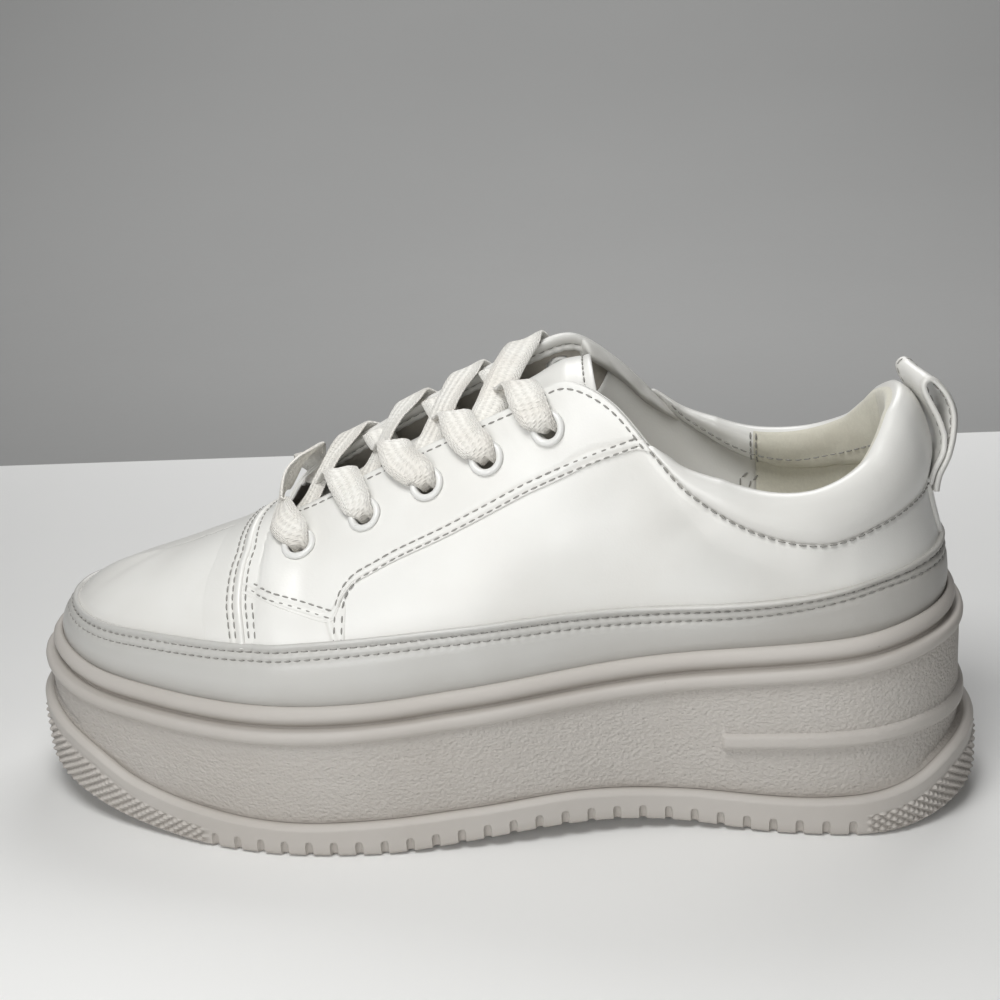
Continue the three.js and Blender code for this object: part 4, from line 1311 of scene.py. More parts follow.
def overlay(name, side, bottom, top, left, right, spans, thick, sewn=(True, False), holed=False):
    """A thin panel on the upper, stretched between four edges given as (station, height).

    spans gives the columns and rows; sewn says whether its bottom and its right edge are.
    """
    columns, rows = spans
    edge = [-0.1, 0.0, 0.15, 0.45, 0.95, 1.4, 2.0, 2.6, 3.05, 3.6, 4.5]

    def spot(a, b):
        corners = zip(bottom(0), bottom(1), top(0), top(1))
        return [(1 - b) * e0 + b * e1 + (1 - a) * e2 + a * e3
                - ((1 - a) * (1 - b) * c0 + a * (1 - b) * c1 + (1 - a) * b * c2 + a * b * c3)
                for e0, e1, e2, e3, (c0, c1, c2, c3) in zip(bottom(a), top(a), left(b), right(b), corners)]

    def on_shoe(a, b):
        s, t = spot(a, b)
        return upper_point(round_place(s, side), t)

    across = (on_shoe(0, 0.5) - on_shoe(1, 0.5)).length
    plain = columns - len(edge) if sewn[1] else columns
    along_a = [i / plain * (1 - edge[-1] / across if sewn[1] else 1) for i in range(plain + 1)]
    if sewn[1]:
        along_a += [1 - d / across for d in reversed(edge[:-1])]
    heights = [max((on_shoe(a, 0) - on_shoe(a, 1)).length, 2.0) for a in along_a]

    def place(i, j):
        a = along_a[i]
        if sewn[0]:
            if j < len(edge):
                b = min(edge[j] / heights[i], 0.96)
            else:
                start = min(edge[-1] / heights[i], 0.96)
                b = start + (1 - start) * (j - len(edge) + 1) / rows
        else:
            b = j / (rows + len(edge) - 1)
        distance = b * heights[i] if sewn[0] else 9.0
        if sewn[1]:
            distance = min(distance, (1 - a) * across)
        share = EDGE_SHAPE.at("share", min(max(distance, -0.1), 6.0))
        s, t = spot(a, b)
        point, normal, _, _ = upper_frame(round_place(s, side), t)
        if holed:
            point = pierced(point)
        channels = sum(hump((distance - row) / 0.35) for row in PANEL_ROWS)
        # Painted shade in the stitch channels and at the cut edge.
        dust = 0.5 * channels + 0.3 * hump(distance / 0.3)
        return point + normal * (thick * share + leather_relief(point, side)), clamp(dust)

    bm = net(len(along_a) - 1, len(edge) + rows - 1, place, marks=("dust",))
    if holed:
        cut_holes(bm)
    bmesh.ops.remove_doubles(bm, verts=bm.verts, dist=WELD)
    if side == INNER:
        bmesh.ops.reverse_faces(bm, faces=bm.faces)
    return make_piece(name, bm, "upper_leather", wall=0.45)


def read_along(spots, a):
    """Station and height a share of the way along a list of spots."""
    place = clamp(a) * (len(spots) - 1)
    i = min(int(place), len(spots) - 2)
    return between(spots[i], spots[i + 1], place - i)


def between(a, b, share):
    """A share of the way from one (station, height) to another."""
    return a[0] + (b[0] - a[0]) * share, a[1] + (b[1] - a[1]) * share


def up_fold(low, high, share):
    """Station and height on the vamp's fold, a share of the way between two heights."""
    t = low + (high - low) * share
    return fold_station(t), t


def build_facings():
    """Eyelet facings and the small panels ahead of them, thin overlays of leather."""
    thick = sizes("facing")
    top_t = 0.994
    for side, name in SIDES:
        edge = spots_along(tuple(FACING_FRONT + FACING_EDGE), side, 300)
        corner = (CORNER + 0.003, top_t)
        overlay("facing_" + name, side,
                partial(read_along, edge), partial(between, (FOLD_TOP, top_t), corner),
                partial(up_fold, edge[0][1], top_t), partial(between, edge[-1], corner),
                (250, 42), thick, holed=True)
        front = spots_along(tuple(FACING_FRONT), side, 60)
        down = spots_along(tuple(PANEL_EDGE), side, 30)
        top = [(s, t + 0.05) for s, t in front] + [(down[-1][0], front[-1][1] + 0.06)]
        low = down[0][1]
        overlay("front_panel_" + name, side,
                partial(between, (fold_station(low), low), down[0]), partial(read_along, top),
                partial(up_fold, low, top[0][1]), partial(between, down[0], top[-1]),
                (50, 20), thick * 0.8, sewn=(False, True))


def build_turned_edges():
    """Leather turned over the throat's edge and sewn down on the inside of each facing."""
    profile = [(-0.05, 0.0), (0.0, 0.45), (0.4, 0.75), (1.2, 0.8), (2.2, 0.75), (2.8, 0.4), (3.1, 0.05),
               (3.5, 0.4), (4.1, 0.7), (4.8, 0.6), (5.2, 0.0)]
    columns, about_long = 170, 100
    low, high = THROAT + 0.012, CORNER - 0.002
    stitches = about_long / sizes("pitch")
    for side, name in SIDES:
        def place(i, j, side=side):
            w = round_place(low + (high - low) * i / columns, side)
            below, share = profile[j]
            point, normal, _, _ = upper_frame(w, below_edge(w, below))
            pucker = 0.16 * math.cos(2 * math.pi * stitches * i / columns) * ease((below - 2.4) / 1.0)
            # Painted shade in the channel of the stitch row.
            return point - normal * (0.95 + share + pucker), 0.6 * hump((below - TURNED_ROW) / 0.5)

        bm = net(columns, len(profile) - 1, place, marks=("dust",))
        if side == OUTER:
            bmesh.ops.reverse_faces(bm, faces=bm.faces)
        make_piece("turned_edge_" + name, bm, "lining_leather", wall=0.3)


def by_fold(v, ahead):
    """Place (w, t) ahead of the vamp's fold, at v: its height outside, then 2 less it inside."""
    side, t = (OUTER, v) if v <= 1 else (INNER, 2 - v)
    s = fold_station(t)
    return round_place(s - ahead / surface_run(round_place(s, side), t)[0], side), t


def build_vamp_fold():
    """Turned edge of the vamp, a raised fold right across the shoe ahead of the throat."""
    profile = [(-0.55, -0.5), (-0.55, 0.1), (-0.4, 0.7), (-0.05, 1.1), (0.4, 1.25), (0.9, 1.15),
               (1.5, 0.86), (1.9, 0.66), (2.35, 0.5), (2.8, 0.66), (3.3, 0.74), (3.8, 0.62), (4.2, 0.44),
               (4.7, 0.52), (5.6, 0.5), (7.0, 0.4), (9.0, 0.26), (11.5, 0.1), (14.0, -0.06), (15.5, -0.3)]
    columns = 180
    foot = guard_top(0.33) - 0.03

    def place(i, j):
        v = foot + (2 - 2 * foot) * i / columns
        forward, share = profile[j]
        channels = sum(hump((forward - row) / 0.4) for row in FOLD_ROWS)
        # Painted shade in the stitch channels and behind the fold's edge.
        dust = 0.5 * channels + 0.4 * hump((forward + 0.5) / 0.3)
        return laid_on(*by_fold(v, forward), share)[0], clamp(dust)

    bm = net(columns, len(profile) - 1, place, marks=("dust",))
    bmesh.ops.remove_doubles(bm, verts=bm.verts, dist=WELD)
    bmesh.ops.recalc_face_normals(bm, faces=bm.faces)
    return make_piece("vamp_fold", bm, "upper_leather", wall=0.5)


def build_heel_stay():
    """Narrow strip down the back of the heel, from the pull loop to the guard."""
    half = 8.2
    rows, columns = 40, 26
    foot, head = guard_top(1.0) - 0.05, 1.02

    def place(i, j):
        t = foot + (head - foot) * j / rows
        rate = surface_run(1.0, min(t, 0.99))[0]
        across = (i / columns * 2 - 1) * half
        edge = clamp((half - abs(across)) / 0.9)
        point, normal, _, _ = upper_frame(1 + across / rate, min(t, 1))
        if t > 1:
            point.z += (t - 1) * 40
        # Painted shade along both edges.
        return point + normal * (1.15 * ease(edge) - 0.2 + leather_relief(point, OUTER)), 0.1 * (1 - edge)

    bm = net(columns, rows, place, marks=("dust",))
    return make_piece("heel_stay", bm, "upper_leather", wall=0.6)


# ---- collar, tongue, pull loop -----------------------------------------------------------
@lru_cache(maxsize=None)
def collar_ring(s, side):
    """Points round one section of the roll, from its outer seam over the crest to the inside."""
    h, lean, thick = (COLLAR.at(name, s) for name in ("rise", "lean", "thick"))
    n = outward(s, side)
    seam = upper_point(round_place(s, side), 1)
    shape = [(-0.2, -0.4), (0.55, 0.12 * h), (0.95, 0.34 * h), (0.6 - 0.3 * lean, 0.62 * h),
             (-0.7 * lean - 0.12 * thick, 0.89 * h), (-lean - 0.46 * thick, 1.0 * h),
             (-lean - 0.84 * thick, 0.88 * h), (-0.4 * lean - 1.02 * thick, 0.56 * h + 0.8),
             (-0.94 * thick, 0.25 * h + 0.8), (-0.66 * thick, 0.3)]
    return [seam + n * out + Vector((0, 0, up)) for out, up in shape]


@lru_cache(maxsize=None)
def top_station(x):
    """Station where the upper's top edge is at x, behind the throat."""
    return halved(CORNER, 1.0, 30, lambda s: TOPLINE.at("x", s) < x)


def collar_stations():
    """Shares round the roll from the outer corner to the inner one, with the lining seam in both."""
    half = 120
    first = COLLAR.keys[0]
    seam = top_station(LINING_SEAM)
    stations = [first + (1 - first) * k / half for k in range(half + 1)]
    nearest = min(range(half), key=lambda k: abs(stations[k] - seam))
    stations[nearest] = seam
    return [(s, OUTER) for s in stations] + [(s, INNER) for s in reversed(stations[:-1])]


def build_collar():
    """Padded roll: coated leather outside and in front, brushed cloth inside the heel."""
    stations, rows = collar_stations(), 48
    crest_row = rows // 2
    columns = len(stations) - 1
    loops = {}

    def place(i, j):
        s, side = stations[i]
        if i not in loops:
            ring = collar_ring(round(s, 7), side)
            loops[i] = smooth_path(ring + [ring[0]], rows), sum(ring, Vector()) / len(ring)
        loop, middle = loops[i]
        point = loop[j]
        away = (point - middle).normalized()
        share = j / rows
        ends = math.sqrt(clamp(min(i, columns - i) / 26))
        point = loop[0].lerp(point, 0.12 + 0.88 * ends)
        inner = ease((share - 0.5) / 0.1) * ease((0.95 - share) / 0.1)
        ahead = ease((72 - point.x) / 26)
        wander = 1.6 * soft_noise(point, 0.06) + 1.2 * math.sin(point.x * 0.21)
        ripple = inner * 0.62 * math.sin(point.x * 0.9 + point.z * 0.3 + wander) * ahead
        ripple += inner * (0.5 + 0.7 * ahead) * soft_noise(point, 0.13) + 0.16 * soft_noise(point, 0.05)
        heel = ease((s - 0.93) / 0.04)
        fold = hump((s - 0.955) / 0.006) * inner
        crest = hump((j - crest_row) / 0.8) * (0.25 + 0.75 * heel)
        beside = (hump((j - crest_row - 1.6) / 1.1) + hump((j - crest_row + 1.6) / 1.1)) * heel
        seam = hump(share / 0.03) + hump((share - 1) / 0.03)
        step = hump((point.x - LINING_SEAM) / 0.5) * ease((share - 0.52) / 0.02)
        move = ripple - 0.8 * crest + 0.45 * beside - 0.7 * fold - 0.35 * step
        # Painted shade along the seams, in the crest's groove, in the fold and at the lining seam's step.
        dust = 0.5 * seam + 0.7 * crest * (0.3 + 0.7 * heel) + 0.3 * fold + 0.4 * step
        return point + away * move, clamp(dust)

    bm = net(columns, rows, place, marks=("dust",))
    low, high = (k for k, (s, _) in enumerate(stations) if s == top_station(LINING_SEAM))
    # The grid lists its faces row by row, each row along the columns
    bm.faces.ensure_lookup_table()
    for face in bm.faces:
        i, j = face.index % columns, face.index // columns
        if low <= i < high and crest_row <= j < rows - 1:
            face.material_index = 1
    closed(bm, 0.01)
    roll = make_piece("collar_roll", bm, "collar_leather heel_lining",
                      ["collar"], sharp=80)
    return roll


def tongue_point(s, across):
    """Place on the tongue, which hangs between the undersides of the facings."""
    feet = []
    for side, t, slack in ((OUTER, 0.86, 0.9), (INNER, 0.8, 2.2)):
        point, normal, _, up = upper_frame(round_place(s, side), t)
        feet.append((point - normal * (WALL + slack), up.normalized()))
    reach = (feet[0][0] - feet[1][0]).length * 0.34
    a, d = feet[0][0], feet[1][0]
    b, c = a + feet[0][1] * reach, d + feet[1][1] * reach
    t, r = across, 1 - across
    return a * r ** 3 + b * (3 * r * r * t) + c * (3 * r * t * t) + d * t ** 3


def tongue_surface(across, a):
    """Place on the tongue's face, a share of the way up it, and how far past the throat that is."""
    first, last = 0.375, 0.585
    s = first + (last - first) * min(a / TONGUE_PAST, 1)
    past = max(a - TONGUE_PAST, 0) / (1 - TONGUE_PAST)
    point = tongue_point(s, across)
    point += Vector((9.5 * past * (1 - 0.5 * across), 0, 1.2 * past))
    point.z += 0.35 * soft_noise(point, 0.07) - 3.0 * ease((across - 0.4) / 0.45)
    return point, past


def build_tongue():
    """Tongue of coated leather, rising past the throat to a stitched end."""
    rows, columns = 90, 40

    def place(i, j):
        point, past = tongue_surface(i / columns, j / rows)
        hem = hump((past - TONGUE_SEAM) / 0.08)
        point.z -= 0.35 * hem
        # Painted shade in the hem's groove.
        return point, 0.25 * hem

    bm = net(columns, rows, place, marks=("dust",))
    bmesh.ops.reverse_faces(bm, faces=bm.faces)
    return make_piece("tongue_leather", bm, "upper_leather facing_backing",
                      ["tongue"], wall=1.5, second=1)


# The loop's near edge, x and z: up the back, over the fold, and down the inside
LOOP_EDGE = [
    (129.9, 88), (130.6, 92.6), (133, 98.2), (134.3, 104.4), (134.3, 110.2), (132.5, 114.9),
    (129.6, 118.6), (127.9, 119.6), (126.6, 118.7), (126.9, 116.6), (128.5, 113.1), (130, 109.9),
    (131, 107.2), (132, 103.4), (131.8, 98.8), (129.7, 93.6), (128.7, 90),
]
LOOP_WIDTH = 16
LOOP_ROWS = (1.3, LOOP_WIDTH - 1.3)


def loop_line():
    return smooth_path([Vector((x, -LOOP_WIDTH / 2, z)) for x, z in LOOP_EDGE], 110)


def loop_across(z):
    """Direction across the strip: level at its foot, turned and tipped at its fold."""
    turn = ease((z - 92) / 27)
    return Vector((-0.36 * turn, 1, 0.2 * turn)).normalized()


def build_pull_loop():
    """Strip of leather doubled into a finger loop behind the heel."""
    line = loop_line()
    columns, rows = 26, len(line) - 1

    def place(i, j):
        across = i / columns * LOOP_WIDTH
        edge = clamp(min(across, LOOP_WIDTH - across) / 0.9)
        way = (line[min(j + 1, rows)] - line[max(j - 1, 0)]).normalized()
        direction = loop_across(line[j].z)
        out = way.cross(direction).normalized()
        channel = sum(hump((across - row) / 0.5) for row in LOOP_ROWS)
        spot = line[j] + direction * across
        lift = 0.35 * (ease(edge) - 1) - 0.2 * channel + 0.25 * soft_noise(spot, 0.1)
        # Painted shade along the edges and in the stitch channels.
        return spot + out * lift, clamp(0.3 * (1 - edge) + 0.4 * channel)

    bm = net(columns, rows, place, marks=("dust",))
    return make_piece("pull_loop_strip", bm, "upper_leather heel_lining",
                      ["pull_loop"], wall=1.4, offset=0.0)


# ---- eyelets and laces -------------------------------------------------------------------
def build_eyelets():
    """Enamelled rings: a profile turned about each eyelet's own axis."""
    from_hole = [(0, -2.6), (-0.15, 0.4), (0, 0.95), (0.35, 1.35), (0.85, 1.5), (1.3, 1.4)]
    from_rim = [(0, 1.05), (0.15, 0.6), (-0.1, 0.3), (-0.9, 0.3)]
    behind = [(0.5, 0.2), (0.5, -2.6)]
    profile = [(EYELET_HOLE + r, z) for r, z in from_hole] + [(EYELET_RADIUS + r, z) for r, z in from_rim]
    profile += [(EYELET_HOLE + r, z) for r, z in behind]
    for (k, side), (middle, normal, _, _) in EYELETS.items():
        bm = bmesh.new()
        verts = [bm.verts.new((r, 0, z)) for r, z in profile]
        edges = [bm.edges.new((a, b)) for a, b in zip(verts, verts[1:] + verts[:1])]
        bmesh.ops.spin(bm, geom=verts + edges, cent=(0, 0, 0), axis=(0, 0, 1), angle=2 * math.pi,
                       steps=40, use_merge=True)
        closed(bm, 0.001)
        turn = Vector((0, 0, 1)).rotation_difference(normal).to_matrix().to_4x4()
        bmesh.ops.transform(bm, matrix=Matrix.Translation(middle + normal * 0.25) @ turn, verts=bm.verts)
        name = dict(SIDES)[side]
        make_piece(f"eyelet_ring_{name}_{k + 1}", bm, "eyelet_enamel",
                   [f"eyelet_{name}_{k + 1}"], sharp=70)


def lace_band(points, faces, widths, thicks, steps=96, around=28):
    """A flat woven band through the points, its flat side turned the way each point's face says."""
    path = smooth_path(points, steps)
    run = run_along(path)[-1]
    runs = run_along(points)
    course = Table("s x y z width thick", [
        (v / runs[-1], *face.normalized(), width, thick)
        for v, face, width, thick in zip(runs, faces, widths, thicks)])
    widest = max(widths)

    def place(i, j):
        v = j / steps
        way = (path[min(j + 1, steps)] - path[max(j - 1, 0)]).normalized()
        face = Vector([course.at(name, v) for name in "xyz"])
        high = (face - way * face.dot(way)).normalized()
        wide = way.cross(high)
        width, thick = course.at("width", v), course.at("thick", v)
        angle = 2 * math.pi * i / around
        c, n = math.cos(angle), math.sin(angle)
        flat = math.copysign(abs(c) ** 0.34, c) * width / 2
        tall = math.copysign(abs(n) ** 0.5, n) * thick / 2
        narrow = clamp(1.2 * (1 - width / widest))
        bow = 0.045 * width * (1 - (2 * flat / width) ** 2)
        pinch = 2.6 * narrow * hump(flat / (0.16 * width))
        scallop = 0.1 * math.sin(2 * math.pi * run * v / 1.05) * abs(c) ** 6
        point = path[j] + wide * (flat + math.copysign(scallop, flat)) + high * (tall + bow - pinch)
        point += high * (0.16 * soft_noise(path[j] + wide * flat, 0.22))
        hidden = ease(1 - v * 7) + ease(1 - (1 - v) * 7)
        # Painted shade where the lace is pinched through an eyelet and at its hidden ends.
        return point, clamp(1.1 * narrow * narrow + 0.4 * hidden)

    def uv(i, j):
        across = (1 + math.cos(math.pi * (i / around * 2 % 2))) / 2
        return across * course.at("width", j / steps), run * j / steps

    bm = net(around, steps, place, uv=uv, marks=("dust",))
    bmesh.ops.remove_doubles(bm, verts=bm.verts, dist=0.004)
    ends = [e for e in bm.edges if e.is_boundary]
    bmesh.ops.holes_fill(bm, edges=ends, sides=0)
    bmesh.ops.recalc_face_normals(bm, faces=bm.faces)
    return bm


# How far ahead of its eyelet each run that comes over the outer edge crosses it
OVER_LEADS = [5.6, 8.0, 6.6, 4.8]


def facing_place(x, side, below, lift):
    """Point a height over a facing, at x and a distance below the throat's edge."""
    point, normal, _, _ = eyelet_place(x, side, below)
    return point + normal * lift


def lace_dive(k, side, width, thick):
    """Where the lace bows over an eyelet and dives through it: places, faces, widths, thicks."""
    middle, normal, forward, up = EYELETS[(k, side)]
    places = [middle + normal * 2.5 + up * 3.2 - forward * 1.4, middle + normal * 1.2 + up * 0.3,
              middle - normal * 1.5 - up * 0.3, middle - normal * 3.4]
    faces = [normal - up * 0.15, normal - up * 0.9, normal * 0.3 - up, normal * 0.3 - up]
    return places, faces, [width * 0.9, width * 0.62, width * 0.52, width * 0.58], [
        thick * 1.05, thick * 1.35, thick * 1.7, thick * 1.5]


def lace_crossing(k, start, face, width, thick):
    """Lace from under eyelet k of the start side, across the throat, into the next one opposite."""
    end = -start
    low, low_normal, _, _ = EYELETS[(k, start)]
    x0, x1 = EYELET_PAIRS[k][0], EYELET_PAIRS[k + 1][0]
    rising = start == OUTER
    lead = 7.0 if rising else OVER_LEADS[k]
    lift = 2.6
    leave = facing_place(x0 - 2, start, 0.3, -1.9)
    land = facing_place(x1 - lead, end, 0.4, lift)
    heights = (1.2, 3.2, 2.6) if rising else (-1.4, -1.2, 2.6)
    over = [leave.lerp(land, share) + Vector((0, 0, height))
            for share, height in zip((0.2, 0.5, 0.82), heights)]
    normal_0 = eyelet_place(x0 - 2, start, 2)[1]
    normal_1 = eyelet_place(x1 - 6, end, 3)[1]
    dive = lace_dive(k + 1, end, width * (0.95 if rising else 1.0), thick)
    up = Vector((0, 0, 1))
    points = [low - low_normal * 3.4, facing_place(x0 - 1, start, 5, -3.1), leave, *over, land,
              facing_place(x1 - 0.64 * lead, end, 4.4, 2.6), *dive[0]]
    faces = [low_normal, low_normal, normal_0, face if rising else normal_0 + up, face if rising else up,
             face + up if rising else up, normal_1 + up * 0.3, normal_1, *dive[1]]
    widths = [width * 0.7, width * 0.85] + [width * 0.92] * 4 + [width * (0.95 if rising else 1.0)] * 2
    return lace_band(points, faces, widths + dive[2], [thick * 1.2] + [thick] * 7 + dive[3])


def lace_bar(width, thick):
    """Lace across the front of the throat, down through both first eyelets."""
    x = EYELET_PAIRS[0][0]
    dive_a, dive_b = lace_dive(0, OUTER, width, thick), lace_dive(0, INNER, width, thick)
    normal_a, normal_b = EYELETS[(0, OUTER)][1], EYELETS[(0, INNER)][1]
    points = dive_a[0][::-1] + [
        facing_place(x - 4.6, OUTER, 7.4, 3.4), facing_place(x - 6.4, OUTER, 2.4, 3.8),
        Vector((-54.6, -6.5, 96.0)), Vector((-52, 0, 99.6)), Vector((-49.6, 7, 101.4)),
        facing_place(x - 1.5, INNER, 0.6, 4.2), facing_place(x - 2, INNER, 5.0, 3.8)] + dive_b[0]
    left, up = Vector((-1, 0, 0.1)), Vector((0, 0, 1))
    faces = dive_a[1][::-1] + [normal_a + left * 0.5, normal_a + left * 1.6, left, left + up * 0.3,
                               left * 0.8 + up, normal_b + up * 0.5, normal_b] + dive_b[1]
    middle = [width, width * 0.86, width * 0.84, width * 0.86, width * 0.9, width * 0.95, width]
    return lace_band(points, faces, dive_a[2][::-1] + middle + dive_b[2],
                     dive_a[3][::-1] + [thick] * 7 + dive_b[3], steps=120)


# The way the visible flat of each rising run faces as it crosses the throat
RISING_FACES = [(-0.7, -0.45, 0.6), (-0.72, -0.3, 0.6), (-0.5, -0.5, 0.7), (-0.1, -0.75, 0.65)]


def build_laces():
    """The bar across the first eyelets and four crossings, run through every eyelet."""
    width, thick = sizes("lace_width"), sizes("lace_thick")
    make_piece("lace_run_bar", lace_bar(width, thick), "lace_cotton",
               ["lace_bar"], sharp=180)
    for k, face in enumerate(RISING_FACES):
        bands = [lace_crossing(k, start, Vector(face), width, thick) for start in (OUTER, INNER)]
        make_piece(f"lace_run_{k + 1}", joined(bands), "lace_cotton",
                   [f"lace_cross_{k + 1}"], sharp=180)


# ---- stitching ---------------------------------------------------------------------------
def stitched(name, rows, lift=0.15):
    """Stitches along rows; each row is a list of (point, normal) on a surface."""
    pitch, length, width = sizes("pitch"), sizes("stitch"), sizes("thread")
    bm = bmesh.new()
    dive = bm.verts.layers.float.new("dive")
    for row in rows:
        points = [p for p, _ in row]
        count = max(round(run_along(points)[-1] / pitch), 1)
        places = resampled(points, count * 2)
        for k in range(count):
            middle = places[2 * k + 1]
            way = (places[2 * k + 2] - places[2 * k]).normalized()
            normal = min(row, key=lambda spot: (spot[0] - middle).length_squared)[1]
            across = normal.cross(way).normalized()
            normal = way.cross(across)
            axes = Matrix((way, across, normal)).transposed().to_4x4()
            size = Matrix.Diagonal((length / 2, width / 2, width * 0.42, 1))
            place = Matrix.Translation(middle + normal * lift)
            made = bmesh.ops.create_uvsphere(bm, u_segments=6, v_segments=5, radius=1.0,
                                             matrix=Matrix.Rotation(math.pi / 2, 4, "Y"))
            for vert in made["verts"]:
                reach = abs(vert.co.x)
                # Painted shade: 0 along the middle of a stitch, rising to 1 at its ends, where the thread
                # material darkens it.
                vert[dive] = clamp((reach - 0.45) / 0.55)
                vert.co.z -= 0.9 * reach ** 4
            bmesh.ops.transform(bm, matrix=place @ axes @ size, verts=made["verts"])
    return make_piece(name, bm, "sewing_thread", sharp=180)


def surface_row(places, lift, shift=0.0):
    """A row over the upper through places (w, t), moved sideways across the surface."""
    row = []
    for k, (w, t) in enumerate(places):
        point, normal, _, _ = upper_frame(w, t)
        before, after = places[max(k - 1, 0)], places[min(k + 1, len(places) - 1)]
        way = (upper_point(*after) - upper_point(*before)).normalized()
        point += normal.cross(way).normalized() * shift
        row.append((point + normal * (lift + leather_relief(point, side_of(w)[1])), normal))
    return row


def shares_of(count):
    return [k / count for k in range(count + 1)]


def build_guard_stitches():
    """Two rows in the channels of the guard."""
    columns, _ = even_round(520, FEATHER)
    tops = [guard_top(w) for w in columns]
    spots = [(w, top, surface_run(w, top)[1]) for w, top in zip(columns, tops)]
    rows = [[laid_on(w, top - below / rate, 0.54 * sizes("guard")) for w, top, rate in spots]
            for below in GUARD_ROWS]
    stitched("guard_stitches", rows, 0.12)


def build_panel_stitches():
    """Double rows along the facings' lower edges and the seams ahead of them."""
    thick = sizes("facing")
    rows = []
    for side in (OUTER, INNER):
        lines = [(track(FACING_EDGE[1:], side), 0.66), (track(FACING_FRONT, side, 30), 0.66),
                 (track(PANEL_EDGE, side, 20), 0.5)]
        rows += [surface_row(line, thick * share, -side * up) for up in PANEL_ROWS for line, share in lines]
    stitched("panel_stitches", rows)


def fold_row(ahead, low, high, lift):
    """Row across the vamp a distance ahead of its fold, between two heights round the ridge."""
    return [laid_on(*by_fold(low + (high - low) * share, ahead), lift) for share in shares_of(140)]


def build_vamp_stitches():
    """Two rows ahead of the fold, one behind it, and one down the small panel's front."""
    low = guard_top(0.33) + 0.01
    rows = [fold_row(ahead, low, 2 - low, 0.52) for ahead in (*FOLD_ROWS, -1.7)]
    rows += [fold_row(-3.7, low, low + 0.16, 0.45), fold_row(-3.7, 1.84 - low, 2 - low, 0.45)]
    stitched("vamp_stitches", rows)


def build_lining_stitches():
    """Rows under the roll, on the turned edges and padding, and down the lining seams."""
    rows = []
    for side in (OUTER, INNER):
        under, turned, padded = [], [], []
        for share in shares_of(160):
            s = 0.675 + (0.93 - 0.675) * share
            out = outward(s, side)
            foot = collar_ring(round(s, 7), side)[-2] + Vector((0, 0, -0.7)) - out * 0.2
            under.append((foot, (Vector((0, 0, -0.5)) - out).normalized()))
            w = round_place(THROAT + 0.02 + (CORNER - 0.01 - THROAT) * share, side)
            point, normal, _, _ = upper_frame(w, below_edge(w, TURNED_ROW))
            turned.append((point - normal * 1.35, -normal))
        for share in shares_of(60):
            s = 0.6 + 0.07 * share
            w = round_place(s, side)
            point, normal, _, _ = upper_frame(w, below_edge(w, padding_depth(s) - 0.3))
            padded.append((point - normal * 1.75, -normal))
        rows += [under, turned, padded]
    seam = top_station(LINING_SEAM)
    for side in (OUTER, INNER):
        for shift in (-1.1, 1.1):
            down = []
            for share in shares_of(24):
                t = 0.8 - 0.72 * share
                s, _ = on_side(LINING_SEAM + shift, upper_point(round_place(seam, side), t).z, side)
                point, normal, _, _ = upper_frame(round_place(s, side), t)
                down.append((point - normal * 2.0, -normal))
            ring = collar_ring(round(top_station(LINING_SEAM + shift), 7), side)
            middle = sum(ring, Vector()) / len(ring)
            inside = smooth_path(ring + [ring[0]], 48)[25:45]
            rows += [down, [(point, (point - middle).normalized()) for point in inside]]
    stitched("lining_stitches", rows)


def build_edge_stitches():
    """Rows just inside the throat's edge and under the collar roll."""
    lift = 0.95 * sizes("facing")
    rows = []
    for low, high in ((THROAT + 0.012, CORNER - 0.004), (2 - CORNER + 0.004, 2 - THROAT - 0.012)):
        places = [low + (high - low) * share for share in shares_of(160)]
        rows.append([laid_on(w, below_edge(w, 2.1), lift) for w in places])
    row = []
    for share in shares_of(300):
        w = CORNER + (2 - 2 * CORNER) * share
        point, normal, _, _ = upper_frame(w, below_edge(w, 0.7))
        row.append((point + normal * 0.1, normal))
    stitched("edge_stitches", rows + [row])


def build_trim_stitches():
    """Rows along both edges of the pull loop and across the tongue's end."""
    line = loop_line()
    rows = []
    for across in LOOP_ROWS:
        for face in (-1, 1):
            row = []
            for j in range(4, len(line) - 4):
                direction = loop_across(line[j].z)
                out = (line[j + 1] - line[j - 1]).normalized().cross(direction).normalized()
                row.append((line[j] + direction * across + out * face * 0.62, out * face))
            rows.append(row)
    end = TONGUE_PAST + (1 - TONGUE_PAST) * TONGUE_SEAM
    row = []
    for share in shares_of(60):
        across = 0.06 + 0.88 * share
        point = tongue_surface(across, end)[0]
        side_step = tongue_surface(across + 0.01, end)[0] - point
        up_step = tongue_surface(across, end + 0.01)[0] - point
        normal = side_step.cross(up_step).normalized()
        normal *= math.copysign(1, normal.z)
        row.append((point - normal * 0.1, normal))
    rows.append(row)
    stitched("trim_stitches", rows)


# ---- operators ---------------------------------------------------------------------------
class MakesPieces:
    bl_options = {"REGISTER", "UNDO"}


class SNEAKER_OT_stage(MakesPieces, bpy.types.Operator):
    """Camera, paper floor and soft lamps"""
    bl_idname = "sneaker.stage"
    bl_label = "Stage"

    def execute(self, context):
        add_camera()
        add_stage()
        return {"FINISHED"}


class SNEAKER_OT_platform(MakesPieces, bpy.types.Operator):
    """Foam platform with its rib, lip and bead"""
    bl_idname = "sneaker.platform"
    bl_label = "Platform"

    def execute(self, context):
        build_midsole()
        return {"FINISHED"}


class SNEAKER_OT_tread(MakesPieces, bpy.types.Operator):
    """Tread plate with knurled bumpers and notched edge"""
    bl_idname = "sneaker.tread"
    bl_label = "Tread"

    def execute(self, context):
        build_outsole()
        return {"FINISHED"}


class SNEAKER_OT_footbed(MakesPieces, bpy.types.Operator):
    """Cloth-covered footbed"""
    bl_idname = "sneaker.footbed"
    bl_label = "Footbed"

    def execute(self, context):
        build_insole()
        return {"FINISHED"}


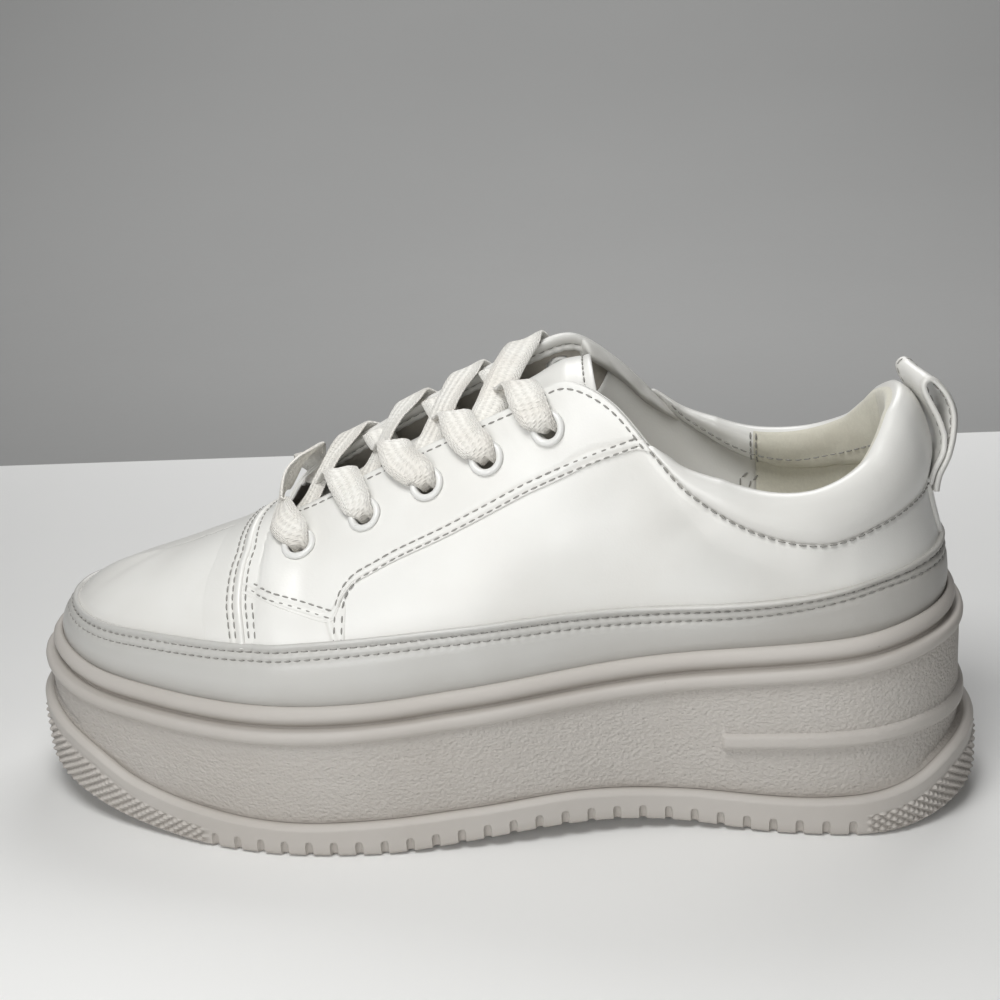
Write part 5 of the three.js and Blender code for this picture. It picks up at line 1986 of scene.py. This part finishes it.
class SNEAKER_OT_upper(MakesPieces, bpy.types.Operator):
    """Leather skin of the upper and its linings"""
    bl_idname = "sneaker.upper"
    bl_label = "Upper"

    def execute(self, context):
        build_upper_skin()
        build_linings()
        build_front_padding()
        return {"FINISHED"}


class SNEAKER_OT_overlays(MakesPieces, bpy.types.Operator):
    """Guard band, eyelet facings, vamp fold and heel stay"""
    bl_idname = "sneaker.overlays"
    bl_label = "Overlays"

    def execute(self, context):
        build_guard()
        build_facings()
        build_turned_edges()
        build_vamp_fold()
        build_heel_stay()
        return {"FINISHED"}


class SNEAKER_OT_collar(MakesPieces, bpy.types.Operator):
    """Padded collar roll"""
    bl_idname = "sneaker.collar"
    bl_label = "Collar"

    def execute(self, context):
        build_collar()
        return {"FINISHED"}


class SNEAKER_OT_tongue(MakesPieces, bpy.types.Operator):
    """Tongue between the facings"""
    bl_idname = "sneaker.tongue"
    bl_label = "Tongue"

    def execute(self, context):
        build_tongue()
        return {"FINISHED"}


class SNEAKER_OT_pull_loop(MakesPieces, bpy.types.Operator):
    """Finger loop behind the heel"""
    bl_idname = "sneaker.pull_loop"
    bl_label = "Pull Loop"

    def execute(self, context):
        build_pull_loop()
        return {"FINISHED"}


class SNEAKER_OT_laces(MakesPieces, bpy.types.Operator):
    """Enamelled eyelets and the flat lace through them"""
    bl_idname = "sneaker.laces"
    bl_label = "Laces and Eyelets"

    def execute(self, context):
        build_eyelets()
        build_laces()
        return {"FINISHED"}


class SNEAKER_OT_stitches(MakesPieces, bpy.types.Operator):
    """Rows of stitches on every seam"""
    bl_idname = "sneaker.stitches"
    bl_label = "Stitches"

    def execute(self, context):
        build_guard_stitches()
        build_panel_stitches()
        build_vamp_stitches()
        build_edge_stitches()
        build_lining_stitches()
        build_trim_stitches()
        return {"FINISHED"}


class SNEAKER_PT_panel(bpy.types.Panel):
    """Sizes, colours and steps of the sneaker"""
    bl_idname = "SNEAKER_PT_panel"
    bl_label = "Platform Sneaker"
    bl_space_type = "VIEW_3D"
    bl_region_type = "UI"
    bl_category = "Sneaker"

    def draw(self, context):
        layout = self.layout
        for group in (context.scene.sneaker_colours, context.scene.sneaker_sizes):
            box = layout.box()
            for name in group.bl_rna.properties.keys():
                if name not in {"rna_type", "name"}:
                    box.prop(group, name)
        for step in STEPS:
            layout.operator(step.bl_idname)


STEPS = (
    SNEAKER_OT_stage, SNEAKER_OT_platform, SNEAKER_OT_tread, SNEAKER_OT_footbed, SNEAKER_OT_upper,
    SNEAKER_OT_overlays, SNEAKER_OT_collar, SNEAKER_OT_tongue, SNEAKER_OT_pull_loop,
    SNEAKER_OT_laces, SNEAKER_OT_stitches,
)
CLASSES = (SneakerColours, SneakerSizes, *STEPS, SNEAKER_PT_panel)


def register():
    for made in CLASSES:
        bpy.utils.register_class(made)
    bpy.types.Scene.sneaker_colours = PointerProperty(type=SneakerColours)
    bpy.types.Scene.sneaker_sizes = PointerProperty(type=SneakerSizes)


def unregister():
    del bpy.types.Scene.sneaker_sizes
    del bpy.types.Scene.sneaker_colours
    for made in reversed(CLASSES):
        bpy.utils.unregister_class(made)


def main():
    register()
    for step in STEPS:
        group, name = step.bl_idname.split(".")
        getattr(getattr(bpy.ops, group), name)()


if __name__ == "__main__":
    main()
